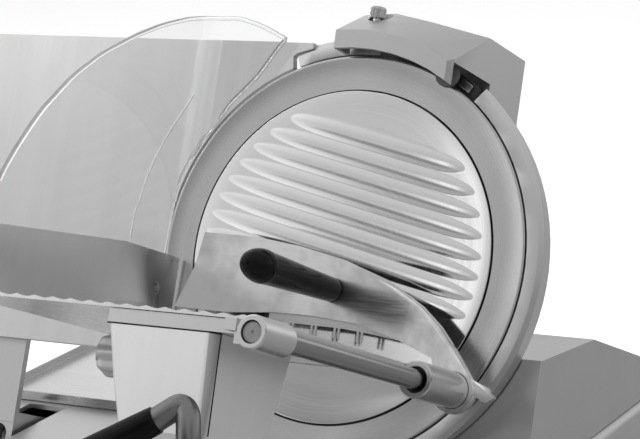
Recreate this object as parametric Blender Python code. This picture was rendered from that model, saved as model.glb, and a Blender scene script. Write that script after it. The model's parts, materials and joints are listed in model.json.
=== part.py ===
# Gravity-feed meat slicer, built from separate solids in metres, +Z up.
# X runs along the carriage travel, to the right as the operator sees it; Y runs back, away from the operator.
# The blade, gauge plate and carriage lean back by FEED_TILT. They are built in a leaning frame whose origin
# is the blade's centre: its x is the travel, its y points up along the blade, its z points out at the operator.

import math

import bmesh
import bpy
from mathutils import Matrix, Vector

# Overall placing
FEED_TILT = math.radians(25.0)
BLADE_X = 0.1150
BLADE_Y = 0.0940
BLADE_Z = 0.235
GAP = 0.0003
RUN = 0.0004
ROUND = 32

# Blade and its spindle
BLADE_R = 0.150
BLADE_WEB_FRONT = -0.0095
BLADE_WEB_BACK = -0.0125
BLADE_BEVEL_R = 0.139
BLADE_BEVEL_BACK = -0.0045
BLADE_LIP = 0.0004
BLADE_STEP_R = 0.1243
HUB_R = 0.020
SPINDLE_R = 0.0125
SPINDLE_FLANGE_R = 0.040
SPINDLE_END = -0.104
BLADE_SCREWS = 3
BLADE_SCREW_START = math.radians(92.3)
BLADE_SCREW_CIRCLE = 0.031
BLADE_SCREW_HEAD_R = 0.0055
BLADE_SCREW_R = 0.003

# Blade cover and the rod that draws it on from behind
COVER_GAP = 0.0006
COVER_R = BLADE_STEP_R - COVER_GAP
COVER_BACK = -0.0090
RIB_COUNT = 8
RIB_PITCH = 0.01426
RIB_FIRST = 0.0873
RIB_HEIGHT = 0.0026
RIB_REACH = 0.1145
RIB_TURN = math.radians(-12.0)
TIE_ROD_R = 0.005
COVER_KNOB_R = 0.018
COVER_KNOB_LENGTH = 0.018

# Head casting: ring guard, back plate, bearing tube and neck
RING_INNER_R = 0.1514
RING_FRONT_R = 0.164
RING_BACK_R = 0.160
RING_LIP = -0.0008
RING_FRONT = -0.0025
RING_BACK = -0.022
RING_FROM = math.radians(-118.0)
RING_TO = math.radians(112.0)
RING_STEPS = 56
HEAD_PLATE_FRONT = -0.0162
HEAD_PLATE_BACK = -0.0215
HEAD_PLATE_R = 0.1545
BEARING_R = 0.0235
BEARING_WIDTH = 0.012
BEARING_TUBE_R = 0.034
BEARING_TUBE_END = -0.078
FRONT_BEARING = -0.034
REAR_BEARING = -0.0765
NECK_LEFT = -0.045
NECK_RIGHT = 0.055
NECK_TOP = -0.104
NECK_LOW = -0.185
NECK_BACK = -0.1055

# Drive
BELT_FRONT = -0.084
BELT_BACK = -0.100
DRIVEN_R = 0.045
MOTOR_PULLEY_R = 0.0225
BELT_THICK = 0.003
MOTOR_X = 0.090
MOTOR_UP = -0.080
MOTOR_R = 0.040
MOTOR_BACK = -0.205
MOTOR_SHAFT_R = 0.006
BRACKET_THICK = 0.004
COVER_FRONT = RING_BACK - 0.0015
COVER_WALL = 0.0035
CASE_R = 0.0555
CASE_LOW_R = 0.034
CASE_BACK = 0.184
CASE_RIDGE_Y = 0.085
CASE_RIDGE_Z = 0.160
CASE_EAVE_Y = 0.165
CASE_EAVE_Z = 0.123
CASE_FALL_Z = 0.104

# Gauge plate and its slide
PLATE_ARC_R = 0.1515
PLATE_TOP = 0.159
PLATE_LOW = -0.085
PLATE_LEFT = -0.395
PLATE_RIGHT = -0.047
PLATE_THICK = 0.006
GAUGE_BAR_X = -0.285
GAUGE_BAR_UP = -0.160
GAUGE_BAR_R = 0.008
GAUGE_BAR_FRONT = -0.022
GAUGE_BAR_BACK = -0.122
SUPPORT_WIDTH = 0.028
SUPPORT_THICK = 0.0057
SUPPORT_TOP = 0.060
SLIDE_BLOCK_BACK = -0.075
SLIDE_BLOCK_HALF = 0.018

# Base, in the machine's own upright frame, measured from the blade's centre in X and Y
BASE_LEFT = -0.352
BASE_RIGHT = 0.165
BASE_FRONT = -0.205
BASE_BACK = 0.190
BASE_LOW = 0.024
BASE_TOP = 0.088
BASE_WALL = 0.004
BASE_ROUND = 0.022
PLATE_SHEET = 0.0015
FOOT_R = 0.017
FOOT_INSET = 0.034
SLOT_LOW = 0.030
SLOT_HIGH = 0.060

# Carriage: guide bar, arm, tray, walls and pusher rod
TRAVEL = 0.270
GUIDE_R = 0.010
GUIDE_Y = -0.177
GUIDE_Z = 0.044
GUIDE_BLOCK_WIDTH = 0.020
SLIDE_HALF = 0.018
SLIDE_RISE = 0.014
ARM_LEFT = -0.005
ARM_RIGHT = 0.079
ARM_INNER = 0.170
ARM_OUTER = 0.270
FOOT_LEFT = 0.025
FOOT_RIGHT = 0.079
TOE_OUTER = -0.252
TOE_FRONT = -0.240
TOE_INNER = -0.222
TRAY_LEFT = -0.134
TRAY_RIGHT = 0.100
TRAY_TOP = -0.0785
TRAY_SHEET = 0.0015
TRAY_INNER = 0.004
TRAY_OUTER = 0.270
WAVE_PITCH = 0.0145
WAVE_HEIGHT = 0.0014
FRAME_THICK = 0.009
FRAME_RIGHT = 0.1028
WALL_THICK = 0.0022
WALL_TOP = -0.012
WALL_SCREW_R = 0.0042
GUARD_THICK = 0.003
ROD_X = 0.120
ROD_UP = -0.091
ROD_R = 0.007
ROD_INNER = 0.0045
ROD_OUTER = 0.295
BOSS_R = 0.0108
BOSS_INNER = 0.258
BOSS_OUTER = 0.296
LOCK_SCREW_R = 0.003
LOCK_PLACE = (ARM_LEFT + 0.003, TRAY_TOP - 0.0295, (ARM_INNER + ARM_OUTER) / 2 + 0.005)
TUBE_R = 0.0077
GRIP_R = 0.0087
HANDLE_PATH = ((0.062, -0.284, 0.150), (0.062, -0.297, 0.150), (0.062, -0.311, 0.150), (0.069, -0.325, 0.156),
               (0.082, -0.334, 0.172), (0.0888, -0.338, 0.193), (0.0896, -0.3385, 0.210),
               (0.0896, -0.3385, 0.2177), (0.0881, -0.3350, 0.2252), (0.0858, -0.3317, 0.2299),
               (0.0828, -0.3299, 0.2326), (0.0797, -0.3304, 0.2339), (0.0763, -0.3328, 0.2324),
               (0.0685, -0.3385, 0.2273))
HANDLE_WAY = (-0.82, -0.57, 0.22)

# Pusher
PUSHER_BACK = 0.0175
PUSHER_THICK = 0.003
PUSHER_ARM_RISE = 0.0025
PUSHER_COLLAR_R = 0.0160
PUSHER_BUSH_R = 0.013
PUSHER_BORE_R = 0.0087
PUSHER_BUSH_END = 0.080
PUSHER_GRIP_X = 0.011
PUSHER_GRIP_UP = -0.028
TEETH_STRIP = ((-0.040, -0.0540), (0.026, -0.0550), (0.070, -0.0595))
TEETH_TOP = -0.036
TEETH_THICK = 0.0015
TOOTH_PAIRS = 4
TOOTH_FIRST = -0.0203
TOOTH_PITCH = 0.0193
TOOTH_WIDTH = 0.0021
TOOTH_SPACE = 0.0012
TOOTH_LENGTH = 0.0085

# Sharpener
HOUSING_FRONT = 0.022
HOUSING_CHAMFER = 0.0035
HOUSING_MID = -0.017
HOUSING_BACK = -0.060
HOUSING_WALL = 0.003
HOUSING_LEFT = -0.0165
HOUSING_RIGHT = 0.082
HOUSING_FLARE = 0.22
APRON_R = 0.1512
CREASE_R = 0.165
HOUSING_CLEAR_R = 0.1655
STONE_R = 0.016
STONE_ANGLE = math.radians(75.0)
STONE_FRONT = -0.0085
STONE_THICK = 0.008
HONE_R = 0.010
HONE_ANGLE = math.radians(62.0)
HONE_FRONT = 0.0085
HONE_THICK = 0.005
STONE_CIRCLE = 0.157
HONE_CIRCLE = 0.1545
STONE_SHAFT_R = 0.003
PUSH_BUTTON_R = 0.0075
SEAT_LEFT = -0.0117
SEAT_RIGHT = 0.004
SEAT_LOW = 0.135
SEAT_TOP = 0.1665
SEAT_BACK = -0.040
SCREW_PLACE = (-0.0004, 0.1815, -0.0079)
SCREW_R = 0.003
SCREW_NECK_R = 0.0035
SCREW_COLLAR_R = 0.0050
SCREW_HEAD_R = 0.0061
SCREW_HEAD_LOW = -0.0010
SCREW_HEAD = 0.0080
SCREW_STUD = 0.0245
KNOB_WELL_X = SCREW_PLACE[0] + 0.0027
KNOB_WELL_R = 0.0090
KNOB_WELL_WALL = 0.0015
KNOB_WELL_FLOOR = 0.0120

# Controls on the base's front face
KNOB_X = -0.318
KNOB_Z = 0.062
KNOB_R = 0.024
SPINDLE_KNOB_R = 0.005
CAM_R = 0.018
BUTTON_Z = 0.062
START_X = 0.117
STOP_X = 0.142
BUTTON_R = 0.008
BUTTON_DEPTH = 0.0075
PANEL_THICK = 0.002
INLET_LENGTH = 0.0127


def clear_scene():
    for item in list(bpy.data.objects):
        bpy.data.objects.remove(item, do_unlink=True)


def material(name, colour, roughness, metallic=0.0, alpha=1.0):
    """A plain material with the piece's own colour and gloss."""
    made = bpy.data.materials.new(name)
    made.use_nodes = True
    shader = made.node_tree.nodes["Principled BSDF"]
    shader.inputs["Base Color"].default_value = (*colour, 1.0)
    shader.inputs["Roughness"].default_value = roughness
    shader.inputs["Metallic"].default_value = metallic
    shader.inputs["Alpha"].default_value = alpha
    made.diffuse_color = (*colour, alpha)
    return made


def empty(name, parent=None, matrix=None):
    made = bpy.data.objects.new(name, None)
    bpy.context.scene.collection.objects.link(made)
    made.parent = parent
    if matrix is not None:
        made.matrix_local = matrix
    return made


def solid(name, bm, finish, parent, matrix=None, smooth=True):
    """Turns a bmesh into a named object that hangs on its parent."""
    bmesh.ops.recalc_face_normals(bm, faces=bm.faces)
    mesh = bpy.data.meshes.new(name)
    bm.to_mesh(mesh)
    bm.free()
    if smooth:
        mesh.shade_smooth()
        mesh.set_sharp_from_angle(angle=math.radians(35.0))
    made = bpy.data.objects.new(name, mesh)
    bpy.context.scene.collection.objects.link(made)
    if finish is not None:
        mesh.materials.append(finish)
    made.parent = parent
    if matrix is not None:
        made.matrix_local = matrix
    return made


def guide(bm, parent, matrix=None, name="guide"):
    """A hidden shape that only cuts or adds to another."""
    made = solid(name, bm, None, parent, matrix, smooth=False)
    made.hide_render = True
    made.display_type = "WIRE"
    return made


def boolean(target, other, operation):
    step = target.modifiers.new(operation.lower(), "BOOLEAN")
    step.operation = operation
    step.solver = "EXACT"
    step.object = other


def cut(target, *others):
    for other in others:
        boolean(target, other, "DIFFERENCE")


def fuse(target, *others):
    for other in others:
        boolean(target, other, "UNION")


def loft(sections):
    """A closed solid through rings of points, each ring with the same count."""
    bm = bmesh.new()
    rings = [[bm.verts.new(point) for point in ring] for ring in sections]
    count = len(rings[0])
    for low, high in zip(rings, rings[1:]):
        for i in range(count):
            j = (i + 1) % count
            bm.faces.new((low[i], low[j], high[j], high[i]))
    bm.faces.new(reversed(rings[0]))
    bm.faces.new(rings[-1])
    return bm


def prism(outline, low, high):
    """An outline in x and y, given its height along z."""
    return loft([[(x, y, z) for x, y in outline] for z in (low, high)])


def block(x0, x1, y0, y1, z0, z1):
    return prism([(x0, y0), (x1, y0), (x1, y1), (x0, y1)], z0, z1)


def turned(profile, steps=ROUND, start=0.0, turn=2 * math.pi):
    """Turns a closed profile of (radius, z) about z. Points at radius 0 meet in one vertex."""
    bm = bmesh.new()
    full = abs(turn - 2 * math.pi) < 1e-6
    count = steps if full else steps + 1
    rings = []
    for radius, z in profile:
        if radius < 1e-9:
            rings.append([bm.verts.new((0.0, 0.0, z))] * count)
            continue
        ring = []
        for i in range(count):
            angle = start + turn * i / steps
            ring.append(bm.verts.new((radius * math.cos(angle), radius * math.sin(angle), z)))
        rings.append(ring)
    for k, ring in enumerate(rings):
        after = rings[(k + 1) % len(rings)]
        if ring[0] is ring[-1] and after[0] is after[-1]:
            continue
        for i in range(steps):
            j = (i + 1) % count
            corners = []
            for corner in (ring[i], ring[j], after[j], after[i]):
                if corner not in corners:
                    corners.append(corner)
            bm.faces.new(corners)
    if not full:
        bm.faces.new([ring[0] for ring in rings])
        bm.faces.new([ring[-1] for ring in rings])
    return bm


def rod(radius, low, high, steps=ROUND, chamfer=0.0):
    """A plain round bar along z, with an optional chamfer at both ends."""
    if chamfer:
        edge = radius - chamfer
        profile = [(0, low), (edge, low), (radius, low + chamfer), (radius, high - chamfer), (edge, high),
                   (0, high)]
    else:
        profile = [(0, low), (radius, low), (radius, high), (0, high)]
    return turned(profile, steps)


def sleeve(inner, outer, low, high, steps=ROUND):
    """A round tube along z."""
    return turned([(inner, low), (outer, low), (outer, high), (inner, high)], steps)


def swept(path, radius, steps=12):
    """A round tube along a list of points, closed at both ends."""
    points = [Vector(point) for point in path]
    ways = []
    for i in range(len(points)):
        before = points[max(i - 1, 0)]
        after = points[min(i + 1, len(points) - 1)]
        ways.append((after - before).normalized())
    side = ways[0].orthogonal().normalized()
    rings = []
    for point, way in zip(points, ways):
        side = (side - way * side.dot(way)).normalized()
        other = way.cross(side)
        ring = []
        for i in range(steps):
            angle = 2 * math.pi * i / steps
            ring.append(point + side * (radius * math.cos(angle)) + other * (radius * math.sin(angle)))
        rings.append(ring)
    return loft(rings)


def grid_solid(front, back):
    """A closed sheet between two grids of points of one size."""
    bm = bmesh.new()
    rows = len(front)
    columns = len(front[0])
    near = [[bm.verts.new(point) for point in row] for row in front]
    far = [[bm.verts.new(point) for point in row] for row in back]
    for i in range(rows - 1):
        for j in range(columns - 1):
            bm.faces.new((near[i][j], near[i][j + 1], near[i + 1][j + 1], near[i + 1][j]))
            bm.faces.new((far[i][j], far[i + 1][j], far[i + 1][j + 1], far[i][j + 1]))
    for i in range(rows - 1):
        for j in (0, columns - 1):
            bm.faces.new((near[i][j], near[i + 1][j], far[i + 1][j], far[i][j]))
    for j in range(columns - 1):
        for i in (0, rows - 1):
            bm.faces.new((near[i][j], near[i][j + 1], far[i][j + 1], far[i][j]))
    return bm


def arc(radius, start, end, steps):
    angles = [start + (end - start) * i / steps for i in range(steps + 1)]
    return [(radius * math.cos(angle), radius * math.sin(angle)) for angle in angles]


def smooth_curve(points, steps):
    """Points along a smooth curve that passes through the given ones."""
    vectors = [Vector(point) for point in points]
    made = []
    for k in range(len(vectors) - 1):
        before = vectors[max(k - 1, 0)]
        first = vectors[k]
        second = vectors[k + 1]
        after = vectors[min(k + 2, len(vectors) - 1)]
        for i in range(steps):
            t = i / steps
            made.append(0.5 * (2 * first + (second - before) * t
                               + (2 * before - 5 * first + 4 * second - after) * t * t
                               + (3 * first - before - 3 * second + after) * t ** 3))
    made.append(vectors[-1])
    return made


def along(values, x):
    """Reads a height off a short list of (x, height) points, in straight steps."""
    for (x0, y0), (x1, y1) in zip(values, values[1:]):
        if x <= x1:
            share = (x - x0) / (x1 - x0)
            return y0 + (y1 - y0) * max(share, 0.0)
    return values[-1][1]


def rounded_box(x0, x1, y0, y1, z0, z1, radius, top=0.0):
    """A box with upright edges rounded, and its top edge rounded by top."""
    def ring(inset, z):
        made = []
        for cx, cy, start in ((x1, y1, 0.0), (x0, y1, 0.5), (x0, y0, 1.0), (x1, y0, 1.5)):
            px = cx - math.copysign(radius, cx - (x0 + x1) / 2)
            py = cy - math.copysign(radius, cy - (y0 + y1) / 2)
            for x, y in arc(radius - inset, start * math.pi, (start + 0.5) * math.pi, 6):
                made.append((px + x, py + y, z))
        return made
    if not top:
        return loft([ring(0.0, z0), ring(0.0, z1)])
    sections = [ring(0.0, z0)]
    for i in range(5):
        angle = math.pi / 2 * i / 4
        sections.append(ring(top * (1 - math.cos(angle)), z1 - top + top * math.sin(angle)))
    return loft(sections)


def facing(direction, origin):
    """A frame whose z runs along a direction."""
    way = Vector(direction).normalized()
    turn = Vector((0, 0, 1)).rotation_difference(way).to_matrix().to_4x4()
    return Matrix.Translation(Vector(origin)) @ turn


def leaning():
    """The place of the leaning frame in an upright one."""
    return Matrix.Translation((0, 0, BLADE_Z)) @ Matrix.Rotation(math.pi / 2 - FEED_TILT, 4, "X")


def finishes():
    return {
        "cast": material("cast_aluminium", (0.62, 0.62, 0.61), 0.42, 1.0),
        "satin": material("satin_aluminium", (0.60, 0.60, 0.60), 0.34, 1.0),
        "steel": material("brushed_steel", (0.56, 0.56, 0.56), 0.28, 1.0),
        "polished": material("polished_aluminium", (0.78, 0.78, 0.78), 0.16, 1.0),
        "black": material("black_plastic", (0.012, 0.012, 0.012), 0.18),
        "rubber": material("black_rubber", (0.02, 0.02, 0.02), 0.75),
        "belt": material("belt_rubber", (0.03, 0.03, 0.03), 0.65),
        "clear": material("clear_plastic", (0.92, 0.94, 0.94), 0.05, 0.0, 0.3),
        "white": material("white_plastic", (0.80, 0.80, 0.78), 0.35),
        "red": material("red_plastic", (0.55, 0.03, 0.02), 0.35),
        "green": material("green_lamp", (0.05, 0.50, 0.12), 0.25),
        "stone": material("grinding_stone", (0.45, 0.43, 0.40), 0.85),
        "motor": material("motor_paint", (0.16, 0.17, 0.18), 0.5),
        "bronze": material("bronze", (0.55, 0.36, 0.16), 0.4, 1.0),
    }


def make_base(upright, lean, look):
    """Base shell, bottom sheet, feet and what is cast inside the base."""
    base = solid("base_casting", rounded_box(BASE_LEFT, BASE_RIGHT, BASE_FRONT, BASE_BACK, BASE_LOW, BASE_TOP,
                                             BASE_ROUND, 0.008), look["cast"], upright)
    hollow = rounded_box(BASE_LEFT + BASE_WALL, BASE_RIGHT - BASE_WALL, BASE_FRONT + BASE_WALL,
                         BASE_BACK - BASE_WALL, BASE_LOW - 0.01, BASE_TOP - BASE_WALL, BASE_ROUND - BASE_WALL)
    cut(base, guide(hollow, upright))
    boss = block(GAUGE_BAR_X - 0.014, GAUGE_BAR_X + 0.014, 0.030, 0.058, 0.027, BASE_TOP - 0.001)
    fuse(base, guide(boss, upright))
    bore = rod(GAUGE_BAR_R + GAP, GAUGE_BAR_BACK - GAP, GAUGE_BAR_FRONT)
    cut(base, guide(bore, lean, Matrix.Translation((GAUGE_BAR_X, GAUGE_BAR_UP, 0))))
    slot = block(FOOT_LEFT - TRAVEL - 0.006, FOOT_RIGHT + 0.006, BASE_FRONT - 0.01, BASE_FRONT + 0.01,
                 SLOT_LOW, SLOT_HIGH)
    motor_well = block(MOTOR_X - MOTOR_R - 0.008, MOTOR_X + MOTOR_R + 0.008, 0.050, 0.178,
                       BASE_TOP - 0.01, BASE_TOP + 0.01)
    reach = SUPPORT_WIDTH / 2 + 0.004
    gauge_slot = block(GAUGE_BAR_X - reach, GAUGE_BAR_X + reach, -0.074, 0.006, BASE_TOP - 0.01,
                       BASE_TOP + 0.01)
    cut(base, guide(slot, upright), guide(motor_well, upright), guide(gauge_slot, upright))
    for x, z, radius in ((KNOB_X, KNOB_Z, SPINDLE_KNOB_R), (START_X, BUTTON_Z, BUTTON_R),
                         (STOP_X, BUTTON_Z, BUTTON_R)):
        hole = rod(radius + RUN, -0.01, 0.01, 32)
        cut(base, guide(hole, upright, facing((0, -1, 0), (x, BASE_FRONT, z))))
    inlet = rod(0.007, -0.01, 0.01, 32)
    cut(base, guide(inlet, upright, facing((0, 1, 0), (0.120, BASE_BACK, 0.050))))

    sheet = rounded_box(BASE_LEFT + 0.001, BASE_RIGHT - 0.001, BASE_FRONT + 0.001, BASE_BACK - 0.001,
                        BASE_LOW - GAP - PLATE_SHEET, BASE_LOW - GAP, BASE_ROUND - 0.001)
    solid("bottom_plate", sheet, look["steel"], upright)
    foot_top = BASE_LOW - 2 * GAP - PLATE_SHEET
    for side, x in (("left", BASE_LEFT + FOOT_INSET), ("right", BASE_RIGHT - FOOT_INSET)):
        for end, y in (("front", BASE_FRONT + FOOT_INSET), ("rear", BASE_BACK - FOOT_INSET)):
            foot = turned([(0, 0), (FOOT_R - 0.002, 0), (FOOT_R, 0.002), (FOOT_R - 0.004, foot_top),
                           (0, foot_top)], 32)
            solid(f"foot_{end}_{side}", foot, look["rubber"], upright, Matrix.Translation((x, y, 0)))


def make_head(upright, lean, look):
    """Ring guard, back plate, bearing tube and neck as one casting."""
    section = [(RING_INNER_R, RING_LIP), (RING_FRONT_R - 0.004, RING_LIP - 0.0006), (RING_FRONT_R, RING_FRONT),
               (RING_BACK_R, RING_BACK), (RING_INNER_R, RING_BACK)]
    ring = turned(section, RING_STEPS, RING_FROM, RING_TO - RING_FROM)
    head = solid("head_casting", ring, look["cast"], lean)
    outline = arc(HEAD_PLATE_R, RING_FROM + 0.01, RING_TO - 0.01, RING_STEPS)
    outline += [(-0.050, 0.060), (-0.050, -0.080)]
    fuse(head, guide(prism(outline, HEAD_PLATE_BACK, HEAD_PLATE_FRONT), lean))
    fuse(head, guide(rod(BEARING_TUBE_R, BEARING_TUBE_END, HEAD_PLATE_FRONT - 0.002), lean))
    neck = block(NECK_LEFT, NECK_RIGHT, NECK_LOW, NECK_TOP, NECK_BACK, HEAD_PLATE_FRONT - 0.001)
    fuse(head, guide(neck, lean))
    seat = block(SEAT_LEFT, SEAT_RIGHT, SEAT_LOW, SEAT_TOP, SEAT_BACK, HEAD_PLATE_FRONT - 0.001)
    fuse(head, guide(seat, lean))
    cut(head, guide(rod(BEARING_R + GAP, BEARING_TUBE_END - 0.01, 0.0), lean))
    flange = [(NECK_LEFT + 0.005, NECK_TOP - 0.012), (0.055, -0.048), (MOTOR_X + 0.020, -0.048),
              (MOTOR_X + 0.045, MOTOR_UP + 0.015), (MOTOR_X + 0.045, MOTOR_UP - 0.020),
              (MOTOR_X + 0.020, MOTOR_UP - 0.046), (0.040, -0.125), (NECK_LEFT + 0.005, -0.125)]
    fuse(head, guide(prism(flange, NECK_BACK - BRACKET_THICK, NECK_BACK + 0.001), lean))
    at_motor = Matrix.Translation((MOTOR_X, MOTOR_UP, 0))
    cut(head, guide(rod(MOTOR_SHAFT_R + 0.004, -0.13, -0.09, 32), lean, at_motor))
    below = block(-0.3, 0.3, -0.3, 0.3, 0.0, BASE_TOP + GAP)
    cut(head, guide(below, upright))
    notch = arc(0.128, math.radians(52), math.radians(86), 6)
    notch += arc(0.18, math.radians(86), math.radians(52), 6)
    cut(head, guide(prism(notch, -0.03, 0.01), lean))
    stud = rod(SCREW_R + GAP, -SCREW_STUD - 0.001, 0.020, 24)
    cut(head, guide(stud, lean, facing((0, 1, 0), SCREW_PLACE)))
    corner = arc(0.1605, math.radians(106.8), math.radians(115), 4) + [(-0.090, 0.145), (-0.090, 0.180),
                                                                       (PLATE_RIGHT + 0.0006, 0.180)]
    cut(head, guide(prism(corner, -0.030, 0.01), lean))
    for name, low in (("front_bearing", FRONT_BEARING), ("rear_bearing", REAR_BEARING)):
        race = sleeve(SPINDLE_R + GAP, BEARING_R, low, low + BEARING_WIDTH)
        solid(name, race, look["steel"], lean)


def cover_height(x, y):
    """Height of the blade cover's flutes over its flat face at a point of the leaning frame."""
    across = y * math.cos(RIB_TURN) - x * math.sin(RIB_TURN)
    length = x * math.cos(RIB_TURN) + y * math.sin(RIB_TURN)
    nearest = min(RIB_COUNT - 1, max(0, round((RIB_FIRST - across) / RIB_PITCH)))
    centre = RIB_FIRST - nearest * RIB_PITCH
    half = math.sqrt(RIB_REACH ** 2 - centre ** 2) - RIB_PITCH / 2
    beyond = max(abs(length) - half, 0.0)
    off = math.hypot(across - centre, beyond) / (RIB_PITCH / 2)
    return RIB_HEIGHT * math.sqrt(max(1 - off * off, 0.0))


def make_blade(lean, spin, look):
    """The blade with its spindle, screws and pulley, and the fixed ribbed cover in front of it."""
    profile = [(HUB_R, BLADE_WEB_FRONT), (BLADE_STEP_R, BLADE_WEB_FRONT), (BLADE_STEP_R, -BLADE_LIP),
               (BLADE_R - 0.001, 0.0), (BLADE_R, -BLADE_LIP), (BLADE_BEVEL_R, BLADE_BEVEL_BACK),
               (BLADE_STEP_R + 0.004, BLADE_WEB_BACK), (HUB_R, BLADE_WEB_BACK)]
    blade = solid("blade", turned(profile, 72), look["steel"], spin)
    flange_back = HEAD_PLATE_FRONT + GAP
    flange_front = BLADE_WEB_BACK - GAP
    spigot = BLADE_WEB_FRONT - 0.0005
    bore = TIE_ROD_R + GAP
    spindle_profile = [(bore, spigot), (HUB_R - GAP, spigot), (HUB_R - GAP, flange_front),
                       (SPINDLE_FLANGE_R, flange_front), (SPINDLE_FLANGE_R, flange_back),
                       (SPINDLE_R, flange_back), (SPINDLE_R, SPINDLE_END), (bore, SPINDLE_END)]
    spindle = solid("blade_spindle", turned(spindle_profile), look["steel"], spin)
    for k in range(BLADE_SCREWS):
        angle = BLADE_SCREW_START + 2 * math.pi * k / BLADE_SCREWS
        x = BLADE_SCREW_CIRCLE * math.cos(angle)
        y = BLADE_SCREW_CIRCLE * math.sin(angle)
        place = Matrix.Translation((x, y, 0))
        low = flange_back + 0.0002
        taper = BLADE_WEB_BACK + 0.0003
        top = BLADE_WEB_FRONT - 0.0001
        screw = turned([(0, low), (BLADE_SCREW_R, low), (BLADE_SCREW_R, taper), (BLADE_SCREW_HEAD_R, top),
                        (0, top)], 24)
        solid(f"blade_screw_{k + 1}", screw, look["steel"], spin, place)
        hole = [(0, low - 0.01), (BLADE_SCREW_R + GAP, low - 0.01), (BLADE_SCREW_R + GAP, taper),
                (BLADE_SCREW_HEAD_R + GAP, top + 0.0001), (BLADE_SCREW_HEAD_R + GAP, top + 0.002),
                (0, top + 0.002)]
        cutter = guide(turned(hole, 24), spin, place)
        cut(blade, cutter)
        cut(spindle, cutter)
    rim = [(SPINDLE_R + GAP, BELT_BACK), (DRIVEN_R + 0.002, BELT_BACK), (DRIVEN_R, BELT_BACK + 0.002),
           (DRIVEN_R, BELT_FRONT - 0.002), (DRIVEN_R + 0.002, BELT_FRONT), (SPINDLE_R + GAP, BELT_FRONT)]
    solid("driven_pulley", turned(rim), look["satin"], spin)


def make_cover(lean, knob_turn, look):
    """The fluted blade cover, and the tie rod and knob that draw it back from behind."""
    first = RIB_FIRST + RIB_PITCH / 2
    steps = 6
    last = first - RIB_COUNT * RIB_PITCH
    levels = [COVER_R * math.sin(math.radians(angle)) for angle in (87, 80, 72, 64, 56)]
    levels += [first - RIB_PITCH * i / steps for i in range(RIB_COUNT * steps + 1)]
    levels += [last - (COVER_R + last) * share for share in (0.25, 0.45, 0.62, 0.76, 0.87, 0.95, 0.9986)]
    shares = (-1.0, -0.955, -0.92, -0.88, -0.83, -0.6, 0.0, 0.6, 0.83, 0.88, 0.92, 0.955, 1.0)
    front = []
    back = []
    for across in levels:
        chord = math.sqrt(COVER_R ** 2 - across ** 2)
        top_row = []
        low_row = []
        for share in shares:
            length = chord * share
            x = length * math.cos(RIB_TURN) - across * math.sin(RIB_TURN)
            y = length * math.sin(RIB_TURN) + across * math.cos(RIB_TURN)
            top_row.append((x, y, cover_height(x, y)))
            low_row.append((x, y, COVER_BACK))
        front.append(top_row)
        back.append(low_row)
    solid("blade_cover", grid_solid(front, back), look["polished"], lean)
    seat = SPINDLE_END - 0.0048
    tie_rod = rod(TIE_ROD_R, seat - COVER_KNOB_LENGTH / 2, COVER_BACK - GAP, 32)
    solid("cover_tie_rod", tie_rod, look["steel"], knob_turn)
    blind = seat - COVER_KNOB_LENGTH / 2 - GAP
    knob = turned([(0, seat - COVER_KNOB_LENGTH), (COVER_KNOB_R - 0.003, seat - COVER_KNOB_LENGTH),
                   (COVER_KNOB_R, seat - COVER_KNOB_LENGTH + 0.003), (COVER_KNOB_R, seat - 0.002),
                   (COVER_KNOB_R - 0.004, seat), (TIE_ROD_R + GAP, seat), (TIE_ROD_R + GAP, blind),
                   (0, blind)])
    solid("cover_knob", knob, look["black"], knob_turn)


def belt_path(radius_a, radius_b, steps=20):
    """The outline of a belt around both pulleys, counter-clockwise."""
    distance = math.hypot(MOTOR_X, MOTOR_UP)
    heading = math.atan2(MOTOR_UP, MOTOR_X)
    lean_angle = math.acos((radius_a - radius_b) / distance)
    first = arc(radius_a, heading + lean_angle, heading + 2 * math.pi - lean_angle, steps)
    second = arc(radius_b, heading - lean_angle, heading + lean_angle, steps)
    return first + [(MOTOR_X + x, MOTOR_UP + y) for x, y in second]


def make_drive(lean, motor_spin, look):
    """Motor, its bracket, shaft and pulley, and the belt."""
    edge = 0.0015
    outer = belt_path(DRIVEN_R + GAP + BELT_THICK, MOTOR_PULLEY_R + GAP + BELT_THICK)
    inner = belt_path(DRIVEN_R + GAP, MOTOR_PULLEY_R + GAP)
    low = BELT_BACK + 0.002 + edge
    high = BELT_FRONT - 0.002 - edge
    belt = solid("drive_belt", prism(outer, low, high), look["belt"], lean)
    cut(belt, guide(prism(inner, low - 0.01, high + 0.01), lean))
    at_motor = Matrix.Translation((MOTOR_X, MOTOR_UP, 0))
    body_front = NECK_BACK - BRACKET_THICK - GAP
    bore = MOTOR_SHAFT_R + RUN
    body = turned([(bore, body_front), (0.030, body_front), (MOTOR_R - 0.004, body_front - 0.004),
                   (MOTOR_R, body_front - 0.010), (MOTOR_R, MOTOR_BACK + 0.012), (MOTOR_R - 0.006, MOTOR_BACK),
                   (bore, MOTOR_BACK)])
    solid("motor_body", body, look["motor"], lean, at_motor)
    shaft = rod(MOTOR_SHAFT_R, MOTOR_BACK + 0.004, BELT_FRONT + 0.001, 32, 0.0008)
    solid("motor_shaft", shaft, look["steel"], motor_spin)
    pulley = turned([(MOTOR_SHAFT_R + GAP, BELT_BACK), (MOTOR_PULLEY_R + 0.002, BELT_BACK),
                     (MOTOR_PULLEY_R, BELT_BACK + 0.002), (MOTOR_PULLEY_R, BELT_FRONT - 0.002),
                     (MOTOR_PULLEY_R + 0.002, BELT_FRONT), (MOTOR_SHAFT_R + GAP, BELT_FRONT)])
    solid("motor_pulley", pulley, look["satin"], motor_spin)


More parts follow.
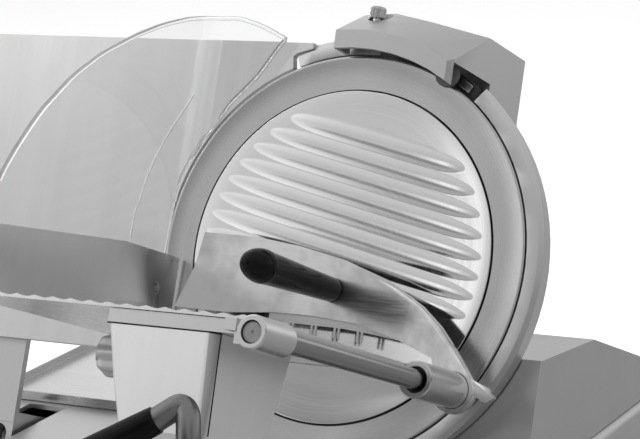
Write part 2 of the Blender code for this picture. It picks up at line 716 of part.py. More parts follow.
def cover_section(x, inset):
    """The rear cover's outline seen from the side, at one X, in the upright frame."""
    def lean_point(up, out):
        return (x, -math.cos(FEED_TILT) * out + math.sin(FEED_TILT) * up,
                BLADE_Z + math.sin(FEED_TILT) * out + math.cos(FEED_TILT) * up)
    front = COVER_FRONT - inset
    floor = BASE_TOP + GAP - (0.03 if inset else 0.0)
    low_up = (floor - BLADE_Z - math.sin(FEED_TILT) * front) / math.cos(FEED_TILT)
    back = CASE_BACK - inset
    return [lean_point(low_up, front), lean_point(-0.060 - inset, front), (x, CASE_RIDGE_Y, CASE_RIDGE_Z - inset),
            (x, CASE_EAVE_Y - inset, CASE_EAVE_Z - inset), (x, back, CASE_FALL_Z), (x, back, floor)]


def make_rear_cover(upright, lean, look):
    """The housing behind the head that closes over motor, belt and spindle."""
    left = -0.078
    right = BASE_RIGHT - 0.002
    box = loft([cover_section(left, 0.0), cover_section(right, 0.0)])
    cover = solid("rear_cover", box, look["cast"], upright, None, smooth=False)
    case_front = BEARING_TUBE_END - GAP
    case_back = SPINDLE_END - 0.0045
    fuse(cover, guide(prism(belt_path(CASE_R, CASE_LOW_R), case_back, case_front), lean))
    room = loft([cover_section(left + COVER_WALL, COVER_WALL), cover_section(right - COVER_WALL, COVER_WALL)])
    case_wall = 0.0032
    case_path = belt_path(CASE_R - COVER_WALL, CASE_LOW_R - COVER_WALL)
    case_room = prism(case_path, case_back + case_wall, case_front - case_wall)
    cut(cover, guide(room, upright), guide(case_room, lean))
    window = block(NECK_LEFT - 0.006, NECK_RIGHT + 0.006, -0.175, -0.075, COVER_FRONT - 0.02,
                   COVER_FRONT + 0.01)
    cut(cover, guide(window, lean))
    cut(cover, guide(rod(SPINDLE_R + 0.0015, case_front - 0.01, case_front + 0.01), lean))
    cut(cover, guide(rod(TIE_ROD_R + 0.001, case_back - 0.01, case_back + 0.01, 24), lean))


def make_gauge(lean, slide, look):
    """Gauge plate, the support behind it and the bar that the support slides on."""
    arc_start = math.radians(113.9)
    arc_end = math.pi + math.asin(-PLATE_LOW / PLATE_ARC_R)
    outline = [(PLATE_LEFT, PLATE_TOP), (PLATE_LEFT, PLATE_LOW)]
    outline += list(reversed(arc(PLATE_ARC_R, arc_start, arc_end, 28)))
    outline += [(-0.0629, 0.1477), (-0.0603, 0.1501), (-0.0466, 0.1543), (PLATE_RIGHT, PLATE_TOP)]
    solid("gauge_plate", prism(outline, -PLATE_THICK, 0.0), look["satin"], slide)
    half = SUPPORT_WIDTH / 2
    top = -PLATE_THICK - GAP
    x0 = GAUGE_BAR_X - half
    x1 = GAUGE_BAR_X + half
    strip = block(x0, x1, GAUGE_BAR_UP + 0.010, SUPPORT_TOP, top - SUPPORT_THICK, top)
    support = solid("gauge_support", strip, look["cast"], slide)
    low_block = block(x0 + 0.0005, x1 - 0.0005, GAUGE_BAR_UP - SLIDE_BLOCK_HALF,
                      GAUGE_BAR_UP + SLIDE_BLOCK_HALF, SLIDE_BLOCK_BACK, top - 0.001)
    fuse(support, guide(low_block, slide))
    at_bar = Matrix.Translation((GAUGE_BAR_X, GAUGE_BAR_UP, 0))
    cut(support, guide(rod(GAUGE_BAR_R + GAP, SLIDE_BLOCK_BACK - 0.01, 0.01), slide, at_bar))
    bar = rod(GAUGE_BAR_R, GAUGE_BAR_BACK, GAUGE_BAR_FRONT, ROUND, 0.001)
    solid("gauge_guide_bar", bar, look["steel"], lean, at_bar)


def make_deflector(lean, look):
    """The thin sheet behind the blade that turns the slices down."""
    outline = arc(0.140, math.radians(140), math.radians(222), 14) + [(-0.0435, -0.090), (-0.0435, 0.080)]
    solid("slice_deflector", prism(outline, HEAD_PLATE_FRONT + GAP, HEAD_PLATE_FRONT + GAP + 0.0015),
          look["steel"], lean)


def make_slice_tray(upright, look):
    """The shallow steel tray on the base where the slices land."""
    low = BASE_TOP + GAP
    x0, x1, y0, y1 = BASE_LEFT + 0.010, -0.083, 0.012, BASE_BACK - 0.006
    tray = solid("slice_tray", rounded_box(x0, x1, y0, y1, low, low + 0.008, 0.012), look["steel"], upright)
    wall = 0.0015
    room = rounded_box(x0 + wall, x1 - wall, y0 + wall, y1 - wall, low + wall, low + 0.02, 0.0105)
    cut(tray, guide(room, upright))


def make_controls(upright, moving, look):
    """Switch panel, buttons, lamp, thickness knob with its cam, and the mains inlet."""
    front = BASE_FRONT - GAP
    sheet = block(0.100, 0.160, front - PANEL_THICK, front, 0.036, 0.082)
    panel = solid("switch_panel", sheet, look["black"], upright, None, smooth=False)
    for x in (START_X, STOP_X):
        hole = rod(BUTTON_R + RUN, -0.01, 0.01, 32)
        cut(panel, guide(hole, upright, facing((0, -1, 0), (x, front, BUTTON_Z))))
    lamp_place = facing((0, -1, 0), ((START_X + STOP_X) / 2, front - PANEL_THICK - GAP, 0.044))
    solid("run_lamp", turned([(0, 0), (0.003, 0), (0.0028, 0.001), (0.0016, 0.002), (0, 0.0023)], 24),
          look["green"], upright, lamp_place)
    for name, x, finish in (("start_button", START_X, "white"), ("stop_button", STOP_X, "red")):
        push = turned([(0, -BUTTON_DEPTH), (BUTTON_R, -BUTTON_DEPTH), (BUTTON_R, 0.0065),
                       (BUTTON_R - 0.001, 0.0075), (0, 0.0075)], 32)
        solid(name, push, look[finish], moving[name], facing((0, -1, 0), (x, front, BUTTON_Z)))
    knob_front = front - GAP
    knob = turned([(SPINDLE_KNOB_R + GAP, 0), (KNOB_R, 0), (KNOB_R, 0.004), (KNOB_R - 0.003, 0.006),
                   (KNOB_R - 0.005, 0.022), (KNOB_R - 0.007, 0.024), (0, 0.024), (0, 0.018),
                   (SPINDLE_KNOB_R + GAP, 0.018)])
    at_knob = facing((0, -1, 0), (KNOB_X, knob_front, KNOB_Z))
    solid("thickness_knob", knob, look["black"], moving["thickness_knob"], at_knob)
    cam = turned([(0, -0.156), (SPINDLE_KNOB_R, -0.156), (SPINDLE_KNOB_R, -0.152), (CAM_R, -0.152),
                  (CAM_R, -0.144), (SPINDLE_KNOB_R, -0.144), (SPINDLE_KNOB_R, 0.0175), (0, 0.0175)])
    solid("thickness_cam", cam, look["steel"], moving["thickness_knob"], at_knob)
    gland = turned([(0.004, 0), (0.0065, -0.008), (0.0065, 0.0), (0.011, GAP), (0.011, 0.004), (0.008, 0.006),
                    (0.007, INLET_LENGTH), (0.004, INLET_LENGTH)], 32)
    solid("mains_inlet", gland, look["black"], upright, facing((0, 1, 0), (0.120, BASE_BACK, 0.050)))


def make_carriage_guide(upright, look):
    """The round bar along the travel and the blocks that hold its ends."""
    left = BASE_LEFT + BASE_WALL + 0.010
    right = BASE_RIGHT - BASE_WALL - 0.010
    at_bar = Matrix.Translation((0, GUIDE_Y, GUIDE_Z)) @ Matrix.Rotation(math.pi / 2, 4, "Y")
    solid("carriage_guide_bar", rod(GUIDE_R, left + 0.002, right - 0.002), look["steel"], upright, at_bar)
    low = BASE_LOW
    top = GUIDE_Z + GUIDE_R + 0.002
    for name, x0 in (("guide_block_left", left), ("guide_block_right", right - GUIDE_BLOCK_WIDTH)):
        holder = solid(name, block(x0, x0 + GUIDE_BLOCK_WIDTH, GUIDE_Y - 0.016, GUIDE_Y + 0.018, low, top),
                       look["cast"], upright)
        cut(holder, guide(rod(GUIDE_R + GAP, left - 0.01, right + 0.01), upright, at_bar))


def arm_sections():
    """Rings of the tapered carriage arm, from the tray down to the base slot, in the upright frame."""
    def from_lean(x, up, out):
        return (x, -math.cos(FEED_TILT) * out + math.sin(FEED_TILT) * up,
                BLADE_Z + math.sin(FEED_TILT) * out + math.cos(FEED_TILT) * up)

    def ring(corners):
        """Cuts the four corners of a section a little."""
        made = []
        bevel = 0.06
        for i in range(4):
            here = Vector(corners[i])
            before = Vector(corners[i - 1])
            after = Vector(corners[(i + 1) % 4])
            made.append(tuple(here.lerp(before, bevel)))
            made.append(tuple(here.lerp(after, bevel)))
        return made
    top_up = TRAY_TOP - WAVE_HEIGHT - TRAY_SHEET - FRAME_THICK - 2 * GAP
    sections = []
    for up, left, inner, outer in ((top_up, ARM_LEFT, ARM_INNER, ARM_OUTER),
                                   (-0.125, 0.003, 0.180, ARM_OUTER - 0.002),
                                   (-0.156, 0.012, 0.188, ARM_OUTER - 0.004)):
        corners = [(left, up, outer), (ARM_RIGHT, up, outer), (ARM_RIGHT, up, inner), (left, up, inner)]
        sections.append(ring([from_lean(*corner) for corner in corners]))
    for z, left, front, rear in ((0.130, 0.018, -0.292, -0.236), (0.085, 0.023, -0.270, -0.226)):
        corners = [(left, front, z + 0.012), (FOOT_RIGHT, front, z + 0.012), (FOOT_RIGHT, rear, z),
                   (left, rear, z)]
        sections.append(ring(corners))
    low = SLOT_LOW + 0.003
    corners = [(FOOT_LEFT, TOE_OUTER, low), (FOOT_RIGHT, TOE_OUTER, low), (FOOT_RIGHT, TOE_INNER, low),
               (FOOT_LEFT, TOE_INNER, low)]
    sections.append(ring(corners))
    return sections


def make_carriage(move, tilt, look):
    """Slide block, arm, frame, corrugated tray, wall, rod and handle."""
    left = FOOT_LEFT - 0.014
    right = FOOT_RIGHT + 0.014
    body = block(left, right, GUIDE_Y - SLIDE_HALF, GUIDE_Y + SLIDE_HALF, GUIDE_Z - SLIDE_RISE,
                 GUIDE_Z + SLIDE_RISE)
    slide = solid("carriage_slide_block", body, look["bronze"], move)
    at_bar = Matrix.Translation((0, GUIDE_Y, GUIDE_Z)) @ Matrix.Rotation(math.pi / 2, 4, "Y")
    cut(slide, guide(rod(GUIDE_R + GAP, left - 0.01, right + 0.01), move, at_bar))
    arm = solid("carriage_arm", loft(arm_sections()), look["cast"], move)
    cut(arm, guide(rod(LOCK_SCREW_R + RUN, -0.016, 0.010, 24), tilt, facing((-1, 0, 0), LOCK_PLACE)))
    toe = block(FOOT_LEFT + 0.001, FOOT_RIGHT - 0.001, TOE_FRONT, GUIDE_Y - SLIDE_HALF - GAP,
                SLOT_LOW + 0.004, SLOT_HIGH - 0.003)
    fuse(arm, guide(toe, move))

    frame_top = TRAY_TOP - WAVE_HEIGHT - TRAY_SHEET - GAP
    frame_low = frame_top - FRAME_THICK
    slab = block(ARM_LEFT + 0.002, FRAME_RIGHT, frame_low, frame_top, ARM_INNER - 0.02, TRAY_OUTER)
    frame = solid("carriage_frame", slab, look["cast"], tilt)
    rail = block(0.094, 0.1025, frame_low + 0.0005, frame_top - 0.0005, TRAY_INNER, BOSS_OUTER - 0.010)
    fuse(frame, guide(rail, tilt))
    boss_place = Matrix.Translation((ROD_X, ROD_UP, 0))
    for low, high, thick, short in ((TRAY_INNER, TRAY_INNER + 0.010, 0.009, 0.001),
                                    (BOSS_INNER, BOSS_OUTER, 0.014, 0.012)):
        link = block(0.101, ROD_X, ROD_UP - thick / 2, frame_top - 0.001, low + 0.001, high - short)
        fuse(frame, guide(link, tilt))
        fuse(frame, guide(rod(BOSS_R, low, high, ROUND, 0.001), tilt, boss_place))
    cut(frame, guide(rod(ROD_R + GAP, TRAY_INNER - 0.01, BOSS_OUTER + 0.01), tilt, boss_place))
    solid("pusher_rod", rod(ROD_R, ROD_INNER, ROD_OUTER, ROUND, 0.0008), look["steel"], tilt, boss_place)

    columns = 97
    underside = TRAY_TOP - WAVE_HEIGHT - TRAY_SHEET
    front = []
    back = []
    for j in range(columns):
        x = TRAY_LEFT + (TRAY_RIGHT - TRAY_LEFT) * j / (columns - 1)
        rise = WAVE_HEIGHT / 2 * (math.cos(2 * math.pi * (x - TRAY_LEFT) / WAVE_PITCH) - 1)
        front.append([(x, TRAY_TOP + rise, TRAY_INNER), (x, TRAY_TOP + rise, TRAY_OUTER + 0.002)])
        back.append([(x, underside, TRAY_INNER), (x, underside, TRAY_OUTER + 0.002)])
    solid("tray_plate", grid_solid(front, back), look["satin"], tilt)

    wall_left = TRAY_LEFT - GAP - WALL_THICK
    top_line = [(TRAY_INNER - 0.001, WALL_TOP), (0.075, WALL_TOP), (TRAY_OUTER, WALL_TOP - 0.020)]
    low = TRAY_TOP - WAVE_HEIGHT - TRAY_SHEET
    outline = [(TRAY_INNER - 0.001, low), (TRAY_OUTER, low)] + list(reversed(top_line))
    sections = [[(x, up, out) for out, up in outline] for x in (wall_left, wall_left + WALL_THICK)]
    wall = solid("tray_wall", loft(sections), look["satin"], tilt, None, smooth=False)
    return arm, wall, wall_left


def bent_point(way, up, side, corner_x, corner_out, bend):
    """A point of the bent guard: way runs along the wall, round the bend and on across the blade."""
    quarter = bend * math.pi / 2
    if way <= 0:
        return (corner_x - side, up, corner_out + bend - way)
    if way <= quarter:
        angle = way / bend
        reach = bend + side
        return (corner_x + bend - reach * math.cos(angle), up, corner_out + bend - reach * math.sin(angle))
    return (corner_x + bend + way - quarter, up, corner_out - side)


def make_guard(tilt, wall, wall_left, look):
    """The clear hand guard: along the wall, then bent across the blade's edge, with a rounded outline."""
    bend = 0.012
    corner_out = 0.006
    corner_x = wall_left - GAP - GUARD_THICK / 2
    top_line = [(-0.224, -0.030), (-0.214, 0.002), (-0.200, 0.028), (-0.180, 0.058), (-0.150, 0.090),
                (-0.120, 0.114), (-0.081, 0.138), (-0.052, 0.153), (-0.033, 0.161), (-0.015, 0.168),
                (0.0094, 0.175), (0.0332, 0.176), (0.0442, 0.173), (0.0562, 0.170), (0.0642, 0.166),
                (0.0732, 0.163), (0.0762, 0.160)]
    low_line = [(-0.224, -0.050), (-0.004, -0.050), (-0.002, -0.008), (0.002, 0.042), (0.0094, 0.062),
                (0.0171, 0.080), (0.0231, 0.086), (0.0361, 0.107), (0.0561, 0.128), (0.0621, 0.137),
                (0.0711, 0.151), (0.0762, 0.158)]
    ways = sorted({way for way, _ in top_line + low_line} - {0.0562, 0.0642, 0.0732} | {0.006, 0.0137})
    rows = 6
    front = []
    back = []
    for way in ways:
        low = along(low_line, way)
        high = along(top_line, way)
        ups = [low + (high - low) * i / rows for i in range(rows + 1)]
        front.append([bent_point(way, up, GUARD_THICK / 2, corner_x, corner_out, bend) for up in ups])
        back.append([bent_point(way, up, -GUARD_THICK / 2, corner_x, corner_out, bend) for up in ups])
    guard = solid("hand_guard", grid_solid(front, back), look["clear"], tilt)
    place = facing((1, 0, 0), (wall_left + WALL_THICK, -0.039, 0.029))
    low = -WALL_THICK - GUARD_THICK - 2 * GAP
    screw = turned([(0, low), (0.002, low), (0.002, -0.0021), (WALL_SCREW_R, 0.0), (WALL_SCREW_R, 0.0002),
                    (0, 0.0002)], 24)
    solid("wall_screw", screw, look["steel"], tilt, place)
    hole = turned([(0, low - 0.01), (0.002 + GAP, low - 0.01), (0.002 + GAP, -0.0021),
                   (WALL_SCREW_R + GAP, 0.0), (WALL_SCREW_R + GAP, 0.01), (0, 0.01)], 24)
    cutter = guide(hole, tilt, place)
    cut(wall, cutter)
    cut(guard, cutter)


def from_upright(point):
    """A point of the upright frame, given in the leaning frame."""
    return leaning().inverted() @ Vector(point)


def make_handle(tilt, arm, lock_turn, look):
    """The bent handle tube with its black grip, and the knob that locks the tray."""
    path = smooth_curve([from_upright(point) for point in HANDLE_PATH], 2)
    end = path[-1]
    way = Vector(HANDLE_WAY).normalized()
    path = path + [end + way * 0.010, end + way * 0.0455]
    into = (path[0] - path[1]).normalized()
    socket = guide(swept([path[0] + into * GAP, path[0] - into * 0.05], TUBE_R + GAP), tilt)
    cut(arm, socket)
    solid("handle_tube", swept(path, TUBE_R), look["steel"], tilt)
    grip_at = facing(way, end)
    grip = turned([(TUBE_R + GAP, 0.001), (GRIP_R, 0.001), (GRIP_R + 0.0003, 0.004), (GRIP_R + 0.0022, 0.050),
                   (GRIP_R + 0.0030, 0.092), (GRIP_R + 0.001, 0.101), (GRIP_R - 0.004, 0.107), (0, 0.109),
                   (0, 0.046), (TUBE_R + GAP, 0.046)], 40)
    solid("handle_grip", grip, look["black"], tilt, grip_at)
    knob = turned([(0, -0.014), (LOCK_SCREW_R, -0.014), (LOCK_SCREW_R, 0.001), (0.006, 0.001), (0.006, 0.009),
                   (0.013, 0.011), (0.015, 0.014), (0.015, 0.026), (0.012, 0.030), (0, 0.030)], 32)
    solid("tray_lock_knob", knob, look["black"], lock_turn)


def teeth_outline():
    """The toothed strip under the pusher plate: a gently falling edge with slim teeth in pairs."""
    outline = [(TEETH_STRIP[0][0], TEETH_TOP), TEETH_STRIP[0]]
    for k in range(TOOTH_PAIRS):
        middle = TOOTH_FIRST + TOOTH_PITCH * k
        for side in (-1, 1):
            x = middle + side * (TOOTH_SPACE + TOOTH_WIDTH) / 2
            root = along(TEETH_STRIP, x)
            half = TOOTH_WIDTH / 2
            tip = root - TOOTH_LENGTH
            outline += [(x - half, root), (x - half * 0.8, tip + 0.0015), (x, tip), (x + half * 0.8, tip + 0.0015),
                        (x + half, root)]
    return outline + [TEETH_STRIP[-1], (TEETH_STRIP[-1][0], TEETH_TOP)]


def make_pusher(slide, swing, look):
    """Liner on the rod, outer tube with plate and arm, toothed strip and black grip."""
    liner = sleeve(ROD_R + GAP, PUSHER_BORE_R - GAP, PUSHER_BACK + 0.006, PUSHER_BUSH_END - 0.004)
    solid("pusher_liner", liner, look["black"], slide)
    front = PUSHER_BACK + PUSHER_THICK
    tube = sleeve(PUSHER_BORE_R, PUSHER_BUSH_R, front + GAP, PUSHER_BUSH_END)
    solid("pusher_bush", tube, look["cast"], swing)
    corner = [(-0.121, -0.0506), (-0.108, -0.018), (-0.104, 0.007), (-0.060, 0.0065), (-0.021, 0.002),
              (0.018, -0.0055), (0.054, -0.017), (0.068, -0.024), (0.0865, -0.034), (0.103, -0.047),
              (0.118, -0.063), (0.132, -0.080)]
    round_end = [(ROD_X + x, ROD_UP + y) for x, y in arc(0.0165, math.radians(42), math.radians(-200), 14)]
    lower = [(0.099, -0.070), (0.072, -0.0600), (0.036, -0.0510), (-0.003, -0.0480), (-0.036, -0.0480),
             (-0.076, -0.0510)]
    outline = [(x - ROD_X, y - ROD_UP) for x, y in corner + round_end + lower]
    sheet = prism(outline, PUSHER_BACK, front)
    plate = solid("pusher_plate", sheet, look["polished"], swing, None, smooth=False)
    arm_line = [(0.045, -0.0165), (0.060, -0.0215), (0.0675, -0.0247), (0.0861, -0.0347), (0.1024, -0.0475),
                (0.1174, -0.0635), (0.1325, -0.0815), (0.148, -0.0875), (0.1525, -0.0935), (0.1465, -0.0975),
                (0.1355, -0.0925), (0.123, -0.0775), (0.107, -0.0775), (0.1005, -0.060), (0.093, -0.045),
                (0.082, -0.035), (0.062, -0.0255)]
    inside = PUSHER_BACK + 0.0005
    arm = prism([(x - ROD_X, y - ROD_UP) for x, y in arm_line], inside, front + PUSHER_ARM_RISE)
    collar = rod(PUSHER_COLLAR_R, inside, front + PUSHER_ARM_RISE + 0.0008)
    fuse(plate, guide(arm, swing), guide(collar, swing))
    step = front - 0.0002
    bore = turned([(0, 0), (PUSHER_BORE_R, 0), (PUSHER_BORE_R, step), (PUSHER_BUSH_R + GAP, step),
                   (PUSHER_BUSH_R + GAP, 0.1), (0, 0.1)])
    cut(plate, guide(bore, swing))
    strip_front = PUSHER_BACK - GAP
    strip = [(x - ROD_X, y - ROD_UP) for x, y in teeth_outline()]
    solid("pusher_teeth", prism(strip, strip_front - TEETH_THICK, strip_front), look["steel"], swing, None,
          smooth=False)
    base = front + GAP
    grip = turned([(0, base), (0.0085, base), (0.0092, base + 0.003), (0.0105, 0.060), (0.0123, 0.112),
                   (0.0123, 0.121), (0.0112, 0.130), (0.0080, 0.137), (0.0040, 0.1402), (0, 0.141)], 40)
    place = Matrix.Translation((PUSHER_GRIP_X - ROD_X, PUSHER_GRIP_UP - ROD_UP, 0))
    solid("pusher_grip", grip, look["black"], swing, place)


def housing_section(out, inset):
    """One ring of the sharpener housing: the apron's arc below, the ridged top above, both sides flared."""
    right = HOUSING_RIGHT + HOUSING_FLARE * (HOUSING_FRONT - out) - inset * 1.1
    if out > HOUSING_FRONT - HOUSING_CHAMFER + 0.0001:
        right -= HOUSING_CHAMFER
    left = HOUSING_LEFT + inset
    rear = max(HOUSING_MID - out, 0.0) / (HOUSING_MID - HOUSING_BACK)
    front = max(out - HOUSING_MID, 0.0) / (HOUSING_FRONT - HOUSING_MID)
    low_r = APRON_R - 0.0015 * (1 - front) - (0.012 if inset else 0.0)
    low_end = math.acos(right / low_r)
    low_start = math.acos(left / low_r)
    ring = arc(low_r, low_start, low_end, 6)
    ridge = [(0.0905, 0.1702), (0.0667, 0.1755), (0.0410, 0.1812), (0.0095, 0.1872), (-0.0155, 0.1853)]
    crease = arc(CREASE_R, math.acos(HOUSING_RIGHT / CREASE_R), math.acos(HOUSING_LEFT / CREASE_R), 4)
    top = []
    for (ridge_x, ridge_y), (crease_x, crease_y) in zip(ridge, crease):
        x = ridge_x + (crease_x - ridge_x) * front
        y = ridge_y + (crease_y - ridge_y) * front - (ridge_y - 0.1600) * 0.62 * rear
        top.append((min(max(x, left), right), y - inset * 1.1))
    top[0] = (right, top[0][1])
    top[-1] = (left, top[-1][1])
    return [(x, y, out) for x, y in ring + top]


def make_sharpener(lift, moving, look):
    """Sharpener housing over the blade's top edge, its knob, stones and push buttons."""
    outs = [HOUSING_BACK, HOUSING_MID, HOUSING_FRONT - HOUSING_CHAMFER, HOUSING_FRONT]
    shell = loft([housing_section(out, 0.0) for out in outs])
    housing = solid("sharpener_housing", shell, look["cast"], lift, None, smooth=False)
    inner_outs = [HOUSING_BACK + HOUSING_WALL, HOUSING_MID, HOUSING_FRONT - HOUSING_CHAMFER]
    cut(housing, guide(loft([housing_section(out, HOUSING_WALL) for out in inner_outs]), lift))
    at_well = facing((0, 1, 0), (KNOB_WELL_X, SCREW_PLACE[1], SCREW_PLACE[2]))
    boss = guide(rod(KNOB_WELL_R + KNOB_WELL_WALL, -0.025, 0.010), lift, at_well)
    boolean(boss, guide(loft([housing_section(out, KNOB_WELL_WALL) for out in inner_outs]), lift), "INTERSECT")
    fuse(housing, boss)
    behind = RING_BACK - 0.002
    envelope = turned([(0.10, behind), (HOUSING_CLEAR_R, behind), (HOUSING_CLEAR_R, -RING_FRONT),
                       (0.10, -RING_FRONT)], 96)
    seat = block(SEAT_LEFT - GAP, SEAT_RIGHT + GAP, SEAT_LOW, SEAT_TOP + GAP, SEAT_BACK - GAP, 0.0)
    notch = arc(HOUSING_CLEAR_R, math.radians(20), math.radians(62), 8) + [(0.0775, 0.100), (0.130, 0.050)]
    cut(housing, guide(envelope, lift), guide(seat, lift),
        guide(prism(notch, 0.0, HOUSING_FRONT - HOUSING_CHAMFER), lift))
    well = rod(KNOB_WELL_R, -KNOB_WELL_FLOOR, 0.020)
    cut(housing, guide(well, lift, at_well),
        guide(rod(SCREW_R + RUN, -0.02, 0.0, 24), lift, facing((0, 1, 0), SCREW_PLACE)))
    seat = GAP - KNOB_WELL_FLOOR
    knob = turned([(0, -SCREW_STUD), (SCREW_R, -SCREW_STUD), (SCREW_R, seat), (SCREW_COLLAR_R, seat),
                   (SCREW_COLLAR_R, seat + 0.003), (SCREW_NECK_R, seat + 0.0035), (SCREW_NECK_R, SCREW_HEAD_LOW),
                   (SCREW_HEAD_R - 0.0004, SCREW_HEAD_LOW), (SCREW_HEAD_R, SCREW_HEAD_LOW + 0.0005),
                   (SCREW_HEAD_R, SCREW_HEAD - 0.0012),
                   (SCREW_HEAD_R - 0.0010, SCREW_HEAD), (0, SCREW_HEAD)])
    solid("sharpener_knob", knob, look["steel"], moving["sharpener_knob"])
    stones = (("grinding", STONE_R, STONE_CIRCLE, STONE_ANGLE, STONE_FRONT, STONE_THICK),
              ("honing", HONE_R, HONE_CIRCLE, HONE_ANGLE, HONE_FRONT, HONE_THICK))
    for name, radius, reach, angle, front, thick in stones:
        stone = turned([(STONE_SHAFT_R + GAP, front - thick), (radius, front - thick), (radius, front),
                        (STONE_SHAFT_R + GAP, front)], 40)
        solid(f"{name}_stone", stone, look["stone"], moving[f"{name}_stone"])
        rear = HOUSING_BACK - 0.0045
        place = Matrix.Translation((reach * math.cos(angle), reach * math.sin(angle), 0))
        push = turned([(0, rear - 0.010), (PUSH_BUTTON_R - 0.001, rear - 0.010),
                       (PUSH_BUTTON_R, rear - 0.009), (PUSH_BUTTON_R, rear), (STONE_SHAFT_R, rear),
                       (STONE_SHAFT_R, front - 0.0005), (0, front - 0.0005)], 32)
        solid(f"{name}_button", push, look["black"], moving[f"{name}_button"])
        shaft_hole = rod(STONE_SHAFT_R + RUN, HOUSING_BACK - 0.02, HOUSING_BACK + 0.02, 24)
        cut(housing, guide(shaft_hole, lift, place))


def build():
    clear_scene()
    look = finishes()
    upright = empty("upright", None, Matrix.Translation((BLADE_X, BLADE_Y, 0.0)))
    lean = empty("leaning", upright, leaning())
    spin = empty("axis_blade_spin", lean)
    motor_spin = empty("axis_motor_spin", lean, Matrix.Translation((MOTOR_X, MOTOR_UP, 0)))
    gauge_slide = empty("axis_gauge_slide", lean)
    cover_turn = empty("axis_cover_knob", lean)
    moving = {
        "start_button": empty("axis_start_button", upright),
        "stop_button": empty("axis_stop_button", upright),
        "thickness_knob": empty("axis_thickness_knob", upright),
    }
    carriage = empty("axis_carriage", upright)
    tilt = empty("carriage_lean", carriage, leaning())
    pusher_slide = empty("axis_pusher_slide", tilt, Matrix.Translation((ROD_X, ROD_UP, 0)))
    pusher_swing = empty("axis_pusher_swing", pusher_slide)
    lock_turn = empty("axis_tray_lock", tilt, facing((-1, 0, 0), LOCK_PLACE))
    lift = empty("axis_sharpener_lift", lean)
    moving["sharpener_knob"] = empty("axis_sharpener_knob", lift, facing((0, 1, 0), SCREW_PLACE))
    for name, reach, angle in (("grinding", STONE_CIRCLE, STONE_ANGLE), ("honing", HONE_CIRCLE, HONE_ANGLE)):
        place = Matrix.Translation((reach * math.cos(angle), reach * math.sin(angle), 0))
        moving[f"{name}_button"] = empty(f"axis_{name}_button", lift, place)
        moving[f"{name}_stone"] = empty(f"axis_{name}_stone", moving[f"{name}_button"])
    make_base(upright, lean, look)
    make_head(upright, lean, look)
    make_blade(lean, spin, look)
    make_cover(lean, cover_turn, look)
    make_drive(lean, motor_spin, look)
    make_rear_cover(upright, lean, look)
    make_gauge(lean, gauge_slide, look)
    make_deflector(lean, look)
    make_slice_tray(upright, look)
    make_controls(upright, moving, look)
    make_carriage_guide(upright, look)
    arm, wall, wall_left = make_carriage(carriage, tilt, look)
    make_guard(tilt, wall, wall_left, look)
    make_handle(tilt, arm, lock_turn, look)
    make_pusher(pusher_slide, pusher_swing, look)
    make_sharpener(lift, moving, look)


build()
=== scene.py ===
import json
import math

import bmesh
import bpy
from mathutils import Matrix, Vector

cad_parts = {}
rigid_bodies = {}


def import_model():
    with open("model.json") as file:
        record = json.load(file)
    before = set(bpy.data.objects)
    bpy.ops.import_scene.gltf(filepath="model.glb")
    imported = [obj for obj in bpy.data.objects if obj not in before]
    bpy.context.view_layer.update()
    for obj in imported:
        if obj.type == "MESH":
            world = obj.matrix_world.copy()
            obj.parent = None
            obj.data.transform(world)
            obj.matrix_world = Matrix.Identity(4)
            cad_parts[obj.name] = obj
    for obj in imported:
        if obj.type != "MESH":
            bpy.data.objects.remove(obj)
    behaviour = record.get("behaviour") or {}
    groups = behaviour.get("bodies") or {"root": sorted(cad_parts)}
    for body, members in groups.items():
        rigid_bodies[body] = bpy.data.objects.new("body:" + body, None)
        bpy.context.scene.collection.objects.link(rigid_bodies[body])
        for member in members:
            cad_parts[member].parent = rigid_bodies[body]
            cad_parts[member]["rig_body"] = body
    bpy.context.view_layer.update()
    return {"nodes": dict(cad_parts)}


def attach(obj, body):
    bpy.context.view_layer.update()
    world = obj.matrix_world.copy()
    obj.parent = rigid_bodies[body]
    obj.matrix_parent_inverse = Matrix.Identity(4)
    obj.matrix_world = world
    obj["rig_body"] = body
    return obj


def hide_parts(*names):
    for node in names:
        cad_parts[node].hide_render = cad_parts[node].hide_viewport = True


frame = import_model()

# Places and sizes repeated from the part, in metres
FEED_TILT = math.radians(25.0)
BLADE_AT = (0.1150, 0.0940, 0.235)
GAP = 0.0003
COVER_R = 0.1237
COVER_BACK = -0.0090
RIB_COUNT = 8
RIB_PITCH = 0.01426
RIB_FIRST = 0.0873
RIB_TURN = math.radians(-12.0)
TRAY_LEFT = -0.134
TRAY_RIGHT = 0.100
TRAY_TOP = -0.0785
TRAY_INNER = 0.004
WAVE_PITCH = 0.0145
WAVE_HEIGHT = 0.0014
WALL_LEFT = -0.1365
WALL_THICK = 0.0022
GUARD_THICK = 0.003
ROD_X = 0.120
ROD_UP = -0.091
SCREW_PLACE = (-0.0004, 0.1815, -0.0079)
LOCK_PLACE = (-0.002, -0.108, 0.225)
ARM_LEFT = -0.005
ARM_RIGHT = 0.079
ARM_OUTER = 0.270

# Values of the drawn shapes alone. The flutes are lower and longer than the solid's.
# The tray reaches 2 mm farther.
RIB_HEIGHT = 0.0009
RIB_REACH = 0.1165
RIB_FALL = 5.0
COVER_FLAT_R = 0.110
COVER_FALL = 0.0002
COVER_RIM = 0.0003
TRAY_OUTER = 0.272
TRAY_UNDER = 0.0015
ARM_TOP = -0.0910
# Spans across and along the arm where a painted shade darkens its cut corner
ARM_FOLD_SHADE = ((0.0715, 0.0790), (0.2618, 0.2640))
